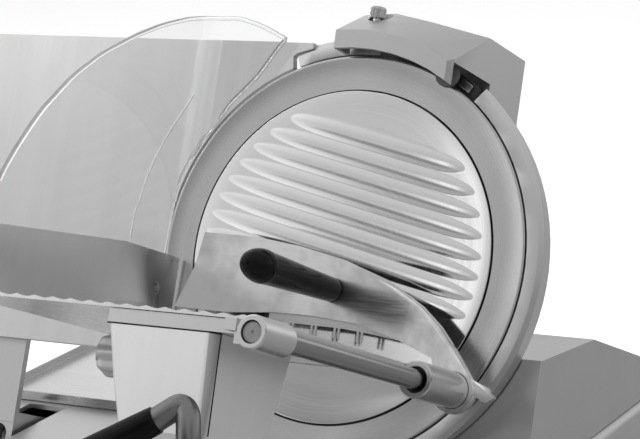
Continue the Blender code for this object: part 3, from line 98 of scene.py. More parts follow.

# The guard: its bend, its edges as (way, up) along the unrolled sheet, the line of its painted highlight as
# (out, up), and the spans that the edges are averaged over
GUARD_BEND = 0.012
GUARD_OUT = 0.006
GUARD_START = -0.224
GUARD_TOP = ((-0.224, -0.030), (-0.214, 0.002), (-0.200, 0.028), (-0.180, 0.058), (-0.150, 0.090),
             (-0.120, 0.114), (-0.081, 0.138), (-0.052, 0.153), (-0.033, 0.161), (-0.015, 0.168),
             (0.0094, 0.175), (0.0332, 0.176), (0.0442, 0.173), (0.0562, 0.170), (0.0642, 0.166),
             (0.0732, 0.163), (0.0762, 0.160))
GUARD_LOW = ((-0.224, -0.050), (-0.004, -0.050), (-0.002, -0.008), (0.002, 0.042), (0.0094, 0.062),
             (0.0171, 0.080), (0.0231, 0.086), (0.0361, 0.107), (0.0561, 0.128), (0.0621, 0.137),
             (0.0711, 0.151), (0.0762, 0.158))
GUARD_FOLD_HIGHLIGHT = ((0.016, 0.112), (0.022, 0.103), (0.038, 0.081), (0.051, 0.059), (0.060, 0.039), (0.064, 0.023),
              (0.068, 0.011), (0.069, -0.008))
TOP_SPAN = (-0.006, -0.003, 0.0, 0.003, 0.006)
LOW_SPAN = (-0.0015, 0.0, 0.0015)

UPRIGHT = Matrix.Translation((BLADE_AT[0], BLADE_AT[1], 0.0))
LEAN = Matrix.Translation(BLADE_AT) @ Matrix.Rotation(math.pi / 2 - FEED_TILT, 4, "X")

# Camera fitted to the photograph, in the leaning frame
CAMERA_AT = (0.90086, -0.21476, 1.55479)
CAMERA_RIGHT = (0.8611, 0.1464, -0.4869)
CAMERA_UP = (-0.0607, 0.9804, 0.1875)
CAMERA_FOCAL = 2474.55
PICTURE_WIDTH = 640

# Light of the room as gloss sees it, as (place from -1 to 1, level), along and across the cover's flutes
ROOM_ALONG = ((-1.0, 1.2), (-0.72, 1.45), (-0.66, 1.75), (-0.62, 1.60), (-0.58, 1.35), (-0.555, 1.24),
              (-0.535, 1.14), (-0.515, 1.02), (-0.50, 0.97), (-0.48, 0.98), (-0.46, 1.0), (1.0, 1.0))
ROOM_ACROSS = ((-1.0, 0.34), (-0.4, 0.37), (-0.2, 0.46), (0.0, 0.545), (0.08, 0.52), (0.2, 0.60), (0.4, 0.68),
               (1.0, 0.68))
SOFTBOX_EDGE = (-0.523, -0.511)
SOFTBOX_TOP = (-0.36, 0.0)
SOFTBOX_LEVEL = 0.62
WINDOW_ALONG = ((-1.0, 0.0), (-0.498, 0.0), (-0.484, 0.14), (-0.472, 0.60), (-0.440, 0.80), (-0.424, 0.0),
                (1.0, 0.0))
WINDOW_ACROSS = ((-1.0, 0.0), (-0.09, 0.0), (-0.04, 1.0), (0.08, 1.0), (0.13, 0.0), (1.0, 0.0))
# Walls, each with its direction, the factor on the light there, and the cosines where it begins and is full
ROOM_WALLS = (((0.0, -0.15, 0.98), 0.16, 0.90, 0.985), ((0.84, 0.20, 0.50), 0.25, 0.95, 0.99),
              ((-0.50, 0.010, 0.866), 0.50, 0.9955, 0.9985), ((0.55, 0.06, -0.83), 1.75, 0.78, 0.95))
ROOM_DULL = 0.62

# Lamps: name, place, target, size, watts, seen by gloss
LAMPS = (("top_box", (-0.5, -0.1, 2.1), (0.05, 0.05, 0.2), (2.4, 1.8), 28.0, False),
         ("left_box", (-2.2, -1.0, 1.2), (0.0, 0.0, 0.25), (2.0, 2.0), 20.0, False),
         ("strip_box", (-1.5, -0.9, 1.6), (0.1, 0.0, 0.24), (0.06, 0.50), 1.6, True))
FLOOR_BOX = (-4.0, 4.0, -4.0, 6.0, -0.01, 0.0)
FLOOR_BOUNCE = 0.36
FLOOR_SEEN = 0.80
FLOOR_LIFT = 0.35


# Shapes

def loft(sections):
    """A solid through rings of points, each ring with the same count."""
    bm = bmesh.new()
    rings = [[bm.verts.new(point) for point in ring] for ring in sections]
    count = len(rings[0])
    for low, high in zip(rings, rings[1:]):
        for i in range(count):
            j = (i + 1) % count
            bm.faces.new((low[i], low[j], high[j], high[i]))
    bm.faces.new(reversed(rings[0]))
    bm.faces.new(rings[-1])
    return bm


def prism(outline, low, high):
    return loft([[(x, y, z) for x, y in outline] for z in (low, high)])


def block(x0, x1, y0, y1, z0, z1):
    return prism([(x0, y0), (x1, y0), (x1, y1), (x0, y1)], z0, z1)


def turned(profile, steps):
    """Turns a closed profile of (radius, z) about z. Points at radius 0 meet in one vertex."""
    bm = bmesh.new()
    rings = []
    for radius, z in profile:
        if radius < 1e-9:
            rings.append([bm.verts.new((0.0, 0.0, z))] * steps)
            continue
        ring = []
        for i in range(steps):
            angle = 2 * math.pi * i / steps
            ring.append(bm.verts.new((radius * math.cos(angle), radius * math.sin(angle), z)))
        rings.append(ring)
    for k, ring in enumerate(rings):
        after = rings[(k + 1) % len(rings)]
        if ring[0] is ring[-1] and after[0] is after[-1]:
            continue
        for i in range(steps):
            j = (i + 1) % steps
            corners = []
            for corner in (ring[i], ring[j], after[j], after[i]):
                if corner not in corners:
                    corners.append(corner)
            bm.faces.new(corners)
    return bm


def swept(path, radius, steps):
    """A round tube along a list of points."""
    points = [Vector(point) for point in path]
    ways = []
    for i in range(len(points)):
        before = points[max(i - 1, 0)]
        after = points[min(i + 1, len(points) - 1)]
        ways.append((after - before).normalized())
    side = ways[0].orthogonal().normalized()
    rings = []
    for point, way in zip(points, ways):
        side = (side - way * side.dot(way)).normalized()
        other = way.cross(side)
        ring = []
        for i in range(steps):
            angle = 2 * math.pi * i / steps
            ring.append(point + side * (radius * math.cos(angle)) + other * (radius * math.sin(angle)))
        rings.append(ring)
    return loft(rings)


def grid_solid(front, back):
    """A closed sheet between two grids of points of one size."""
    bm = bmesh.new()
    rows = len(front)
    columns = len(front[0])
    near = [[bm.verts.new(point) for point in row] for row in front]
    far = [[bm.verts.new(point) for point in row] for row in back]
    for i in range(rows - 1):
        for j in range(columns - 1):
            bm.faces.new((near[i][j], near[i][j + 1], near[i + 1][j + 1], near[i + 1][j]))
            bm.faces.new((far[i][j], far[i + 1][j], far[i + 1][j + 1], far[i][j + 1]))
    for i in range(rows - 1):
        for j in (0, columns - 1):
            bm.faces.new((near[i][j], near[i + 1][j], far[i + 1][j], far[i][j]))
    for j in range(columns - 1):
        for i in (0, rows - 1):
            bm.faces.new((near[i][j], near[i][j + 1], far[i][j + 1], far[i][j]))
    return bm


def arc(radius, start, end, steps):
    """Points along part of a circle about the origin."""
    made = []
    for i in range(steps + 1):
        angle = start + (end - start) * i / steps
        made.append((radius * math.cos(angle), radius * math.sin(angle)))
    return made


def smooth_curve(points, steps):
    """Points along a smooth curve that passes through the given ones."""
    vectors = [Vector(point) for point in points]
    made = []
    for k in range(len(vectors) - 1):
        before = vectors[max(k - 1, 0)]
        first = vectors[k]
        second = vectors[k + 1]
        after = vectors[min(k + 2, len(vectors) - 1)]
        for i in range(steps):
            t = i / steps
            made.append(0.5 * (2 * first + (second - before) * t
                               + (2 * before - 5 * first + 4 * second - after) * t * t
                               + (3 * first - before - 3 * second + after) * t ** 3))
    made.append(vectors[-1])
    return made


def along(values, x):
    """A value read off a list of (x, value), straight between its points."""
    for (x0, y0), (x1, y1) in zip(values, values[1:]):
        if x <= x1:
            share = (x - x0) / (x1 - x0)
            return y0 + (y1 - y0) * max(share, 0.0)
    return values[-1][1]


def smoothed(line, way, span):
    """A line's height at one place, averaged with the places beside it."""
    return sum(along(line, way + step) for step in span) / len(span)


def facing(direction, origin):
    """A frame whose z runs along a direction."""
    way = Vector(direction).normalized()
    turn = Vector((0, 0, 1)).rotation_difference(way).to_matrix().to_4x4()
    return Matrix.Translation(Vector(origin)) @ turn


# Pieces

def round_edges(item, width):
    step = item.modifiers.new("round", "BEVEL")
    step.width = width
    step.segments = 2
    step.limit_method = "ANGLE"
    step.angle_limit = math.radians(32.0)
    step.use_clamp_overlap = True
    step.harden_normals = True


def piece(name, bm, look, body, instead, place=LEAN, rounding=0.0, angle=35.0):
    """Turns a bmesh into a piece that rides on a body and stands for CAD nodes."""
    bmesh.ops.recalc_face_normals(bm, faces=bm.faces)
    mesh = bpy.data.meshes.new(name)
    bm.to_mesh(mesh)
    bm.free()
    mesh.shade_smooth()
    mesh.set_sharp_from_angle(angle=math.radians(angle))
    made = bpy.data.objects.new(name, mesh)
    bpy.context.scene.collection.objects.link(made)
    mesh.materials.append(LOOK[look])
    made.matrix_world = place
    if rounding:
        round_edges(made, rounding)
    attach(made, body)
    if instead:
        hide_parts(*instead)
    return made


def stand_in(node, bm, look, body, place, angle=25.0):
    """A piece that stands for one CAD node and is named after it."""
    return piece(node + "_look", bm, look, body, [node], place, angle=angle)


def remodel(node, look, rounding, place):
    """A copy of a CAD node with joined faces and rounded edges, in the frame that its texture follows."""
    source = frame["nodes"][node]
    bm = bmesh.new()
    bm.from_mesh(source.data)
    bmesh.ops.remove_doubles(bm, verts=bm.verts, dist=2e-6)
    bmesh.ops.dissolve_limit(bm, angle_limit=math.radians(0.6), verts=bm.verts, edges=bm.edges)
    bmesh.ops.transform(bm, matrix=place.inverted(), verts=bm.verts)
    piece(node + "_look", bm, look, source["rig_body"], [node], place, rounding)


# Materials

class Nodes:
    """Short names for building one material's nodes."""

    def __init__(self, name):
        self.material = bpy.data.materials.new(name)
        self.material.use_nodes = True
        self.tree = self.material.node_tree
        self.shader = self.tree.nodes["Principled BSDF"]

    def add(self, kind, **settings):
        node = self.tree.nodes.new(kind)
        for key, value in settings.items():
            setattr(node, key, value)
        return node

    def link(self, source, target):
        self.tree.links.new(source, target)

    def coordinates(self, scale=1.0):
        """The piece's own coordinates, scaled by one number or by one for each axis."""
        texture = self.add("ShaderNodeTexCoord")
        mapping = self.add("ShaderNodeMapping")
        mapping.inputs["Scale"].default_value = scale if isinstance(scale, tuple) else (scale, scale, scale)
        self.link(texture.outputs["Object"], mapping.inputs["Vector"])
        return mapping.outputs["Vector"]

    def polar(self, radial, angular):
        """Coordinates that run with the radius and the angle about the piece's own z axis."""
        texture = self.add("ShaderNodeTexCoord")
        split = self.add("ShaderNodeSeparateXYZ")
        self.link(texture.outputs["Object"], split.inputs[0])
        flat = self.add("ShaderNodeCombineXYZ")
        self.link(split.outputs["X"], flat.inputs["X"])
        self.link(split.outputs["Y"], flat.inputs["Y"])
        length = self.add("ShaderNodeVectorMath", operation="LENGTH")
        self.link(flat.outputs[0], length.inputs[0])
        unit = self.add("ShaderNodeVectorMath", operation="NORMALIZE")
        self.link(flat.outputs[0], unit.inputs[0])
        out = self.add("ShaderNodeVectorMath", operation="SCALE")
        self.link(unit.outputs[0], out.inputs[0])
        out.inputs["Scale"].default_value = angular
        third = self.add("ShaderNodeCombineXYZ")
        self.link(self.math("MULTIPLY", length.outputs["Value"], radial), third.inputs["Z"])
        total = self.add("ShaderNodeVectorMath", operation="ADD")
        self.link(out.outputs[0], total.inputs[0])
        self.link(third.outputs[0], total.inputs[1])
        return total.outputs[0]

    def noise(self, vector, detail, roughness):
        node = self.add("ShaderNodeTexNoise")
        node.inputs["Scale"].default_value = 1.0
        node.inputs["Detail"].default_value = detail
        node.inputs["Roughness"].default_value = roughness
        self.link(vector, node.inputs["Vector"])
        return node.outputs["Fac"]

    def math(self, operation, first, second=None, third=None, clamp=False):
        node = self.add("ShaderNodeMath", operation=operation)
        node.use_clamp = clamp
        for socket, value in zip(node.inputs, (first, second, third)):
            if value is None:
                continue
            if isinstance(value, (int, float)):
                socket.default_value = value
            else:
                self.link(value, socket)
        return node.outputs[0]

    def spread(self, value, low, high, from_low=0.3, from_high=0.7):
        """Maps a value's range to another. Noise lies mostly between 0.3 and 0.7."""
        node = self.add("ShaderNodeMapRange")
        node.inputs["From Min"].default_value = from_low
        node.inputs["From Max"].default_value = from_high
        node.inputs["To Min"].default_value = low
        node.inputs["To Max"].default_value = high
        self.link(value, node.inputs["Value"])
        return node.outputs["Result"]

    def mix(self, share, first, second):
        """Mixes two colours. The node's sockets 6, 7 and output 2 are those for colour."""
        node = self.add("ShaderNodeMix", data_type="RGBA")
        for socket, value in ((node.inputs[6], first), (node.inputs[7], second)):
            if isinstance(value, tuple):
                socket.default_value = (*value, 1.0)
            else:
                self.link(value, socket)
        if isinstance(share, (int, float)):
            node.inputs[0].default_value = share
        else:
            self.link(share, node.inputs[0])
        return node.outputs[2]

    def edge(self, radius=0.0012):
        """How close a point lies to an edge, from 0 to 1, from the rounded normal."""
        bevel = self.add("ShaderNodeBevel", samples=4)
        bevel.inputs["Radius"].default_value = radius
        plain = self.add("ShaderNodeNewGeometry")
        dot = self.add("ShaderNodeVectorMath", operation="DOT_PRODUCT")
        self.link(bevel.outputs[0], dot.inputs[0])
        self.link(plain.outputs["Normal"], dot.inputs[1])
        return self.spread(dot.outputs["Value"], 1.0, 0.0, 0.80, 0.99)

    def bump(self, height, strength, distance):
        node = self.add("ShaderNodeBump")
        node.inputs["Strength"].default_value = strength
        node.inputs["Distance"].default_value = distance
        self.link(height, node.inputs["Height"])
        return node.outputs[0]

    def set(self, **values):
        for key, value in values.items():
            socket = self.shader.inputs[key.replace("_", " ")]
            if isinstance(value, tuple) and len(value) == 3:
                socket.default_value = (*value, 1.0)
            elif isinstance(value, (int, float)):
                socket.default_value = value
            else:
                self.link(value, socket)
        return self.material


def grey(level):
    return (level, level, level)


def brushed(name, level, rough, grain, streak, contrast, bump, tint=(1.0, 1.0, 1.0), mottle=0.0, fold=None,
            metal=1.0):
    """Brushed or rolled metal: fine grain and wider streaks along one direction of the piece."""
    n = Nodes(name)
    fine = n.noise(n.coordinates(grain), 4.0, 0.6)
    wide = n.noise(n.coordinates(streak), 3.0, 0.5)
    cloud = n.noise(n.coordinates(26), 4.0, 0.55)
    share = n.math("ADD", n.math("MULTIPLY", fine, 0.45), n.math("MULTIPLY", wide, 0.55))
    low = tuple(level * (1 - contrast) * c for c in tint)
    high = tuple(min(level * (1 + contrast), 1.0) * c for c in tint)
    colour = n.mix(n.spread(share, 0.0, 1.0), low, high)
    if mottle:
        dull = tuple(level * (1 - mottle) * c for c in tint)
        colour = n.mix(n.spread(cloud, 0.0, 0.8, 0.45, 0.72), colour, dull)
    if fold:
        # Painted shade along the cut corner between the front and one side
        split = n.add("ShaderNodeSeparateXYZ")
        n.link(n.coordinates(), split.inputs[0])
        painted_corner_shade = n.math("MULTIPLY", n.spread(split.outputs["X"], 0.0, 0.75, *fold[0]),
                        n.spread(split.outputs["Z"], 0.0, 1.0, *fold[1]))
        colour = n.mix(painted_corner_shade, colour, grey(level * 0.12))
    roughness = n.math("ADD", n.spread(fine, rough - 0.04, rough + 0.05), n.spread(cloud, -0.03, 0.03))
    normal = n.bump(fine, bump, 0.0002)
    return n.set(Base_Color=colour, Metallic=metal, Roughness=roughness, Normal=normal)


def ground(name, level, rough, rings, contrast, bump, anisotropic, sweep=0.5):
    """Metal turned or ground on a wheel: fine circles about the piece's z axis, and soft sectors of painted
    shade and highlight.
    """
    n = Nodes(name)
    fine = n.noise(n.polar(rings, 0.35), 3.0, 0.6)
    sector_shade = n.noise(n.polar(0.0, 1.9), 3.0, 0.55)
    share = n.math("ADD", n.math("MULTIPLY", fine, 1.0 - sweep), n.math("MULTIPLY", sector_shade, sweep))
    bright = grey(min(level * (1 + contrast), 1.0))
    colour = n.mix(n.spread(share, 0.0, 1.0), grey(level * (1 - contrast)), bright)
    roughness = n.spread(fine, rough - 0.03, rough + 0.04)
    tangent = n.add("ShaderNodeTangent", direction_type="RADIAL", axis="Z")
    n.link(tangent.outputs[0], n.shader.inputs["Tangent"])
    return n.set(Base_Color=colour, Metallic=1.0, Roughness=roughness, Normal=n.bump(fine, bump, 0.0001),
                 Anisotropic=anisotropic)


def cast(name, level, rough, grain=900.0, bump=0.25, edge_lift=0.12):
    """Bead-blasted casting: fine even grain, soft clouds and brighter edges."""
    n = Nodes(name)
    fine = n.noise(n.coordinates(grain), 3.0, 0.6)
    soft = n.noise(n.coordinates(30), 4.0, 0.55)
    share = n.math("ADD", n.math("MULTIPLY", fine, 0.4), n.math("MULTIPLY", soft, 0.6))
    body = n.mix(n.spread(share, 0.0, 1.0), grey(level * 0.96), grey(level * 1.04))
    edge = n.edge()
    # The edges are drawn lighter and less rough
    colour = n.mix(n.math("MULTIPLY", edge, edge_lift * 4, clamp=True), body, grey(min(level * 1.25, 0.95)))
    roughness = n.math("SUBTRACT", n.spread(share, rough - 0.04, rough + 0.06),
                       n.math("MULTIPLY", edge, edge_lift))
    return n.set(Base_Color=colour, Metallic=1.0, Roughness=roughness, Normal=n.bump(fine, bump, 0.00015))


def plastic(name, colour, rough, grain=1500.0, bump=0.06, lift=1.25):
    """Moulded plastic: faint grain, uneven gloss and edges drawn lighter as a painted highlight."""
    n = Nodes(name)
    fine = n.noise(n.coordinates(grain), 2.0, 0.5)
    smear = n.noise(n.coordinates(35), 3.0, 0.6)
    lighter = tuple(min(c * lift + 0.002, 1.0) for c in colour)
    body = n.mix(n.spread(smear, 0.0, 1.0), colour, lighter)
    # Painted highlight: the edges are drawn lighter
    painted_edge_highlight = tuple(min(c * 1.5 + 0.01, 1.0) for c in colour)
    final = n.mix(n.math("MULTIPLY", n.edge(0.0008), 0.35), body, painted_edge_highlight)
    roughness = n.spread(smear, rough - 0.03, rough + 0.06)
    return n.set(Base_Color=final, Roughness=roughness, Normal=n.bump(fine, bump, 0.0001))


def gloss_black(name):
    """Polished black plastic: hairline scratches and finger smears in an even gloss."""
    n = Nodes(name)
    smear = n.noise(n.coordinates((40, 40, 25)), 4.0, 0.6)
    hair = n.noise(n.coordinates((90, 90, 2600)), 3.0, 0.7)
    colour = n.mix(n.spread(smear, 0.0, 1.0), (0.004, 0.004, 0.004), (0.009, 0.009, 0.010))
    roughness = n.math("ADD", n.spread(smear, 0.07, 0.13), n.spread(hair, -0.01, 0.02))
    return n.set(Base_Color=colour, Roughness=roughness, Normal=n.bump(hair, 0.02, 0.0001),
                 Specular_IOR_Level=0.10)


def stone(name, colour):
    """Abrasive stone: dull grit with open pores."""
    n = Nodes(name)
    cells = n.add("ShaderNodeTexVoronoi")
    cells.inputs["Scale"].default_value = 2200.0
    n.link(n.coordinates(), cells.inputs["Vector"])
    grit = n.noise(n.coordinates(1500), 4.0, 0.7)
    dark = tuple(c * 0.7 for c in colour)
    light = tuple(min(c * 1.3, 1.0) for c in colour)
    tone = n.mix(n.spread(grit, 0.0, 1.0), dark, light)
    return n.set(Base_Color=tone, Roughness=0.9, Normal=n.bump(cells.outputs["Distance"], 0.5, 0.0003))


def clear(name):
    """Clear polycarbonate: faint scratches and a polish that is not quite even."""
    n = Nodes(name)
    scratch = n.noise(n.coordinates((300, 14, 40)), 4.0, 0.6)
    smear = n.noise(n.coordinates(16), 3.0, 0.6)
    roughness = n.spread(smear, 0.02, 0.06)
    return n.set(Base_Color=(0.955, 0.96, 0.96), Roughness=roughness, IOR=1.45, Transmission_Weight=1.0,
                 Normal=n.bump(scratch, 0.02, 0.0001))


def frosted(name):
    """The cut edge of the clear sheet: hazy, with saw marks across its thickness."""
    n = Nodes(name)
    marks = n.noise(n.coordinates(1500), 3.0, 0.6)
    colour = n.mix(n.spread(marks, 0.0, 1.0), grey(0.50), grey(0.72))
    return n.set(Base_Color=colour, Roughness=0.28, IOR=1.45, Transmission_Weight=0.55,
                 Normal=n.bump(marks, 0.15, 0.0002))


# brushed: name, level, roughness, grain, streak, contrast, bump
# ground: name, level, roughness, rings, contrast, bump, anisotropy, share of the painted sectors of shade
# cast: name, level, roughness, grain, bump, edge lightening; plastic: name, colour, roughness, grain, bump,
# lift
LOOK = {
    "gauge": brushed("gauge_satin", 0.65, 0.34, (900, 30, 900), (60, 3, 60), 0.06, 0.06),
    "satin": brushed("satin_sheet", 0.82, 0.34, (900, 30, 900), (60, 4, 60), 0.04, 0.08),
    "tray": brushed("tray_satin", 0.80, 0.28, (700, 700, 30), (90, 90, 4), 0.05, 0.12),
    "steel": brushed("brushed_steel", 0.56, 0.26, (60, 1200, 1200), (6, 90, 90), 0.05, 0.10),
    "rod": ground("drawn_steel", 0.34, 0.22, 400.0, 0.04, 0.04, 0.3),
    "blade": ground("ground_blade", 0.54, 0.25, 4200.0, 0.10, 0.02, 0.70, 0.75),
    "turned": ground("turned_steel", 0.58, 0.24, 2400.0, 0.05, 0.08, 0.4),
    "polished": ground("polished_cover", 0.82, 0.10, 1500.0, 0.015, 0.010, 0.0),
    "plate": brushed("polished_plate", 0.80, 0.20, (40, 700, 700), (5, 40, 40), 0.04, 0.04, mottle=0.45),
    "cast": cast("cast_aluminium", 0.58, 0.42),
    "smooth_cast": cast("smooth_casting", 0.55, 0.40, 1400.0, 0.08, 0.05),
    "arm": brushed("linished_arm", 0.80, 0.34, (800, 30, 800), (90, 7, 90), 0.03, 0.10, fold=ARM_FOLD_SHADE,
                   metal=0.45),
    "slab": brushed("linished_slab", 0.68, 0.34, (30, 800, 800), (7, 90, 90), 0.03, 0.10),
    "head": cast("ring_casting", 0.68, 0.38, 1400.0, 0.08, 0.05),
    "black": plastic("black_plastic", (0.010, 0.010, 0.011), 0.22),
    "gloss": gloss_black("gloss_black"),
    "rubber": plastic("black_rubber", (0.022, 0.022, 0.022), 0.72, 700.0, 0.3),
    # A dark material put into gaps and creases as painted shade
    "seam": plastic("seam_shadow", (0.012, 0.012, 0.012), 0.85, 900.0, 0.2),
    "belt": plastic("belt_rubber", (0.03, 0.03, 0.03), 0.6, 500.0, 0.4),
    "white": plastic("white_plastic", (0.78, 0.78, 0.76), 0.32, lift=1.03),
    "red": plastic("red_plastic", (0.50, 0.022, 0.015), 0.32, lift=1.15),
    "green": plastic("green_lamp", (0.04, 0.42, 0.10), 0.15, lift=1.2),
    "stone": stone("grinding_stone", (0.13, 0.13, 0.13)),
    "motor": plastic("motor_paint", (0.10, 0.11, 0.12), 0.45, 900.0, 0.25),
    "bronze": brushed("bearing_bronze", 0.95, 0.38, (60, 900, 900), (8, 90, 90), 0.06, 0.1,
                      tint=(0.62, 0.40, 0.18)),
    "clear": clear("clear_guard"),
    "clear_edge": frosted("clear_guard_edge"),
    # A whitish bead on the guard as a painted highlight
    "fold_highlight": plastic("painted_fold_highlight", (0.80, 0.80, 0.80), 0.25, lift=1.05),
    "tube": ground("drawn_tube", 0.24, 0.34, 500.0, 0.04, 0.05, 0.2),
}

# The CAD nodes of each look
NODES_OF_LOOK = {
    "cast": ("base_casting", "rear_cover", "gauge_support", "guide_block_left", "guide_block_right",
             "tray_lock_knob", "pusher_bush"),
    "steel": ("bottom_plate", "slice_deflector", "slice_tray", "pusher_teeth"),
    "rubber": ("foot_front_left", "foot_front_right", "foot_rear_left", "foot_rear_right"),
    "head": ("head_casting",),
    "turned": ("front_bearing", "rear_bearing", "blade_spindle", "blade_screw_1", "blade_screw_2",
               "blade_screw_3", "driven_pulley", "motor_pulley", "thickness_cam", "wall_screw",
               "sharpener_knob"),
    "blade": ("blade",),
    "polished": ("blade_cover",),
    "rod": ("cover_tie_rod", "motor_shaft", "gauge_guide_bar", "carriage_guide_bar", "pusher_rod"),
    "black": ("cover_knob", "switch_panel", "thickness_knob", "mains_inlet", "pusher_liner",
              "grinding_button", "honing_button"),
    "belt": ("drive_belt",),
    "motor": ("motor_body",),
    "gauge": ("gauge_plate",),
    "green": ("run_lamp",),
    "white": ("start_button",),
    "red": ("stop_button",),
    "bronze": ("carriage_slide_block",),
    "arm": ("carriage_arm",),
    "slab": ("carriage_frame",),
    "tray": ("tray_plate",),
    "satin": ("tray_wall",),
    "clear": ("hand_guard",),
    "tube": ("handle_tube",),
    "gloss": ("handle_grip", "pusher_grip"),
    "plate": ("pusher_plate",),
    "smooth_cast": ("sharpener_housing",),
    "stone": ("grinding_stone", "honing_stone"),
}


def dress_nodes():
    """Gives every CAD node its look, for those that no piece stands for."""
    for look, nodes in NODES_OF_LOOK.items():
        for node in nodes:
            mesh = frame["nodes"][node].data
            if not mesh.materials:
                mesh.materials.append(LOOK[look])
            for i in range(len(mesh.materials)):
                mesh.materials[i] = LOOK[look]


# Blade, cover, tray and guard

def make_blade():
    """The knife, with painted shade on the wall of its recess where it meets the cover: those faces take a
    dark material.
    """
    shaded_band = (0.1239, 0.1249)
    shaded_band_top = -0.0015
    recess = (0.1250, -0.0019)
    grind_width, grind_rise, grind_hollow = 0.0243, 0.0004, 0.0014
    profile = [(0.020, -0.0095), (0.1238, -0.0095), (0.1243, -0.0090), (0.1243, -0.0024), recess]
    for i in range(17):
        share = i / 16
        profile.append((recess[0] + grind_width * share,
                        recess[1] + grind_rise * share + grind_hollow * share ** 2.6))
    profile += [(0.1498, -0.00025), (0.1500, -0.0004), (0.1497, -0.00065), (0.139, -0.0045), (0.138, -0.0049),
                (0.1283, -0.0125), (0.020, -0.0125)]
    made = stand_in("blade", turned(profile, 240), "blade", "blade_unit", LEAN, 28.0)
    # Painted shade: the recess wall beside the cover gets the dark material
    made.data.materials.append(LOOK["seam"])
    for face in made.data.polygons:
        if shaded_band[0] < math.hypot(face.center.x, face.center.y) < shaded_band[1] and face.center.z < shaded_band_top:
            face.material_index = 1


def cover_height(x, y):
    """Height of the cover's face: long lens-shaped flutes, and a face that falls a little towards its rim."""
    along_flute = x * math.cos(RIB_TURN) + y * math.sin(RIB_TURN)
    across = y * math.cos(RIB_TURN) - x * math.sin(RIB_TURN)
    nearest = min(RIB_COUNT - 1, max(0, round((RIB_FIRST - across) / RIB_PITCH)))
    centre = RIB_FIRST - nearest * RIB_PITCH
    off = (across - centre) / (RIB_PITCH / 2)
    reach = math.sqrt(RIB_REACH ** 2 - centre ** 2)
    crown = 1 - off * off - (abs(along_flute) / reach) ** RIB_FALL
    fall = (max(math.hypot(x, y) - COVER_FLAT_R, 0.0) / (COVER_R - COVER_FLAT_R)) ** 2
    return RIB_HEIGHT * max(crown, 0.0) - COVER_FALL * fall


def make_cover():
    """The fluted cover, in rows across the flutes, its rim rounded over."""
    steps = 22
    columns = 280
    first = RIB_FIRST + RIB_PITCH / 2
    last = first - RIB_COUNT * RIB_PITCH
    # Beside the flutes the rows follow the rim by equal angles
    levels = [COVER_R * math.sin(math.radians(90 - 3.2 * i)) for i in range(1, 14)]
    levels = [level for level in levels if level > first + 0.0003]
    levels += [first - RIB_PITCH * i / steps for i in range(RIB_COUNT * steps + 1)]
    start = math.degrees(math.asin(last / COVER_R))
    levels += [COVER_R * math.sin(math.radians(start + (-88.2 - start) * i / 30)) for i in range(1, 31)]
    front = []
    back = []
    for across in levels:
        chord = math.sqrt(COVER_R ** 2 - across ** 2)
        top_row = []
        low_row = []
        for j in range(columns + 1):
            share = math.sin(math.pi / 2 * (2 * j / columns - 1))
            length = chord * share
            x = length * math.cos(RIB_TURN) - across * math.sin(RIB_TURN)
            y = length * math.sin(RIB_TURN) + across * math.cos(RIB_TURN)
            edge = COVER_R - math.hypot(x, y)
            drop = COVER_RIM * max(1 - edge / COVER_RIM, 0.0) ** 2
            top_row.append((x, y, cover_height(x, y) - drop))
            low_row.append((x, y, COVER_BACK))
        front.append(top_row)
        back.append(low_row)
    stand_in("blade_cover", grid_solid(front, back), "polished", "frame", LEAN, 50.0)


def make_tray():
    """The tray's ribbed plate, in rows along the ribs."""
    columns = 305
    rows = 4
    outs = [TRAY_INNER + (TRAY_OUTER - TRAY_INNER) * k / rows for k in range(rows + 1)]
    front = []
    back = []
    for j in range(columns):
        x = TRAY_LEFT + (TRAY_RIGHT - TRAY_LEFT) * j / (columns - 1)
        wave = 0.5 - 0.5 * math.cos(2 * math.pi * (x - TRAY_LEFT) / WAVE_PITCH)
        rise = -WAVE_HEIGHT * wave ** 0.7
        front.append([(x, TRAY_TOP + rise, out) for out in outs])
        back.append([(x, TRAY_TOP - WAVE_HEIGHT - TRAY_UNDER, out) for out in outs])
    stand_in("tray_plate", grid_solid(front, back), "tray", "carriage", LEAN, 35.0)


def bent_point(way, up, side):
    """A point of the guard: along the wall up to way 0, round the bend, then across the blade's edge."""
    corner_x = WALL_LEFT - GAP - GUARD_THICK / 2
    quarter = GUARD_BEND * math.pi / 2
    if way <= 0:
        return (corner_x - side, up, GUARD_OUT + GUARD_BEND - way)
    if way <= quarter:
        angle = way / GUARD_BEND
        reach = GUARD_BEND + side
        return (corner_x + GUARD_BEND - reach * math.cos(angle), up,
                GUARD_OUT + GUARD_BEND - reach * math.sin(angle))
    return (corner_x + GUARD_BEND + way - quarter, up, GUARD_OUT - side)


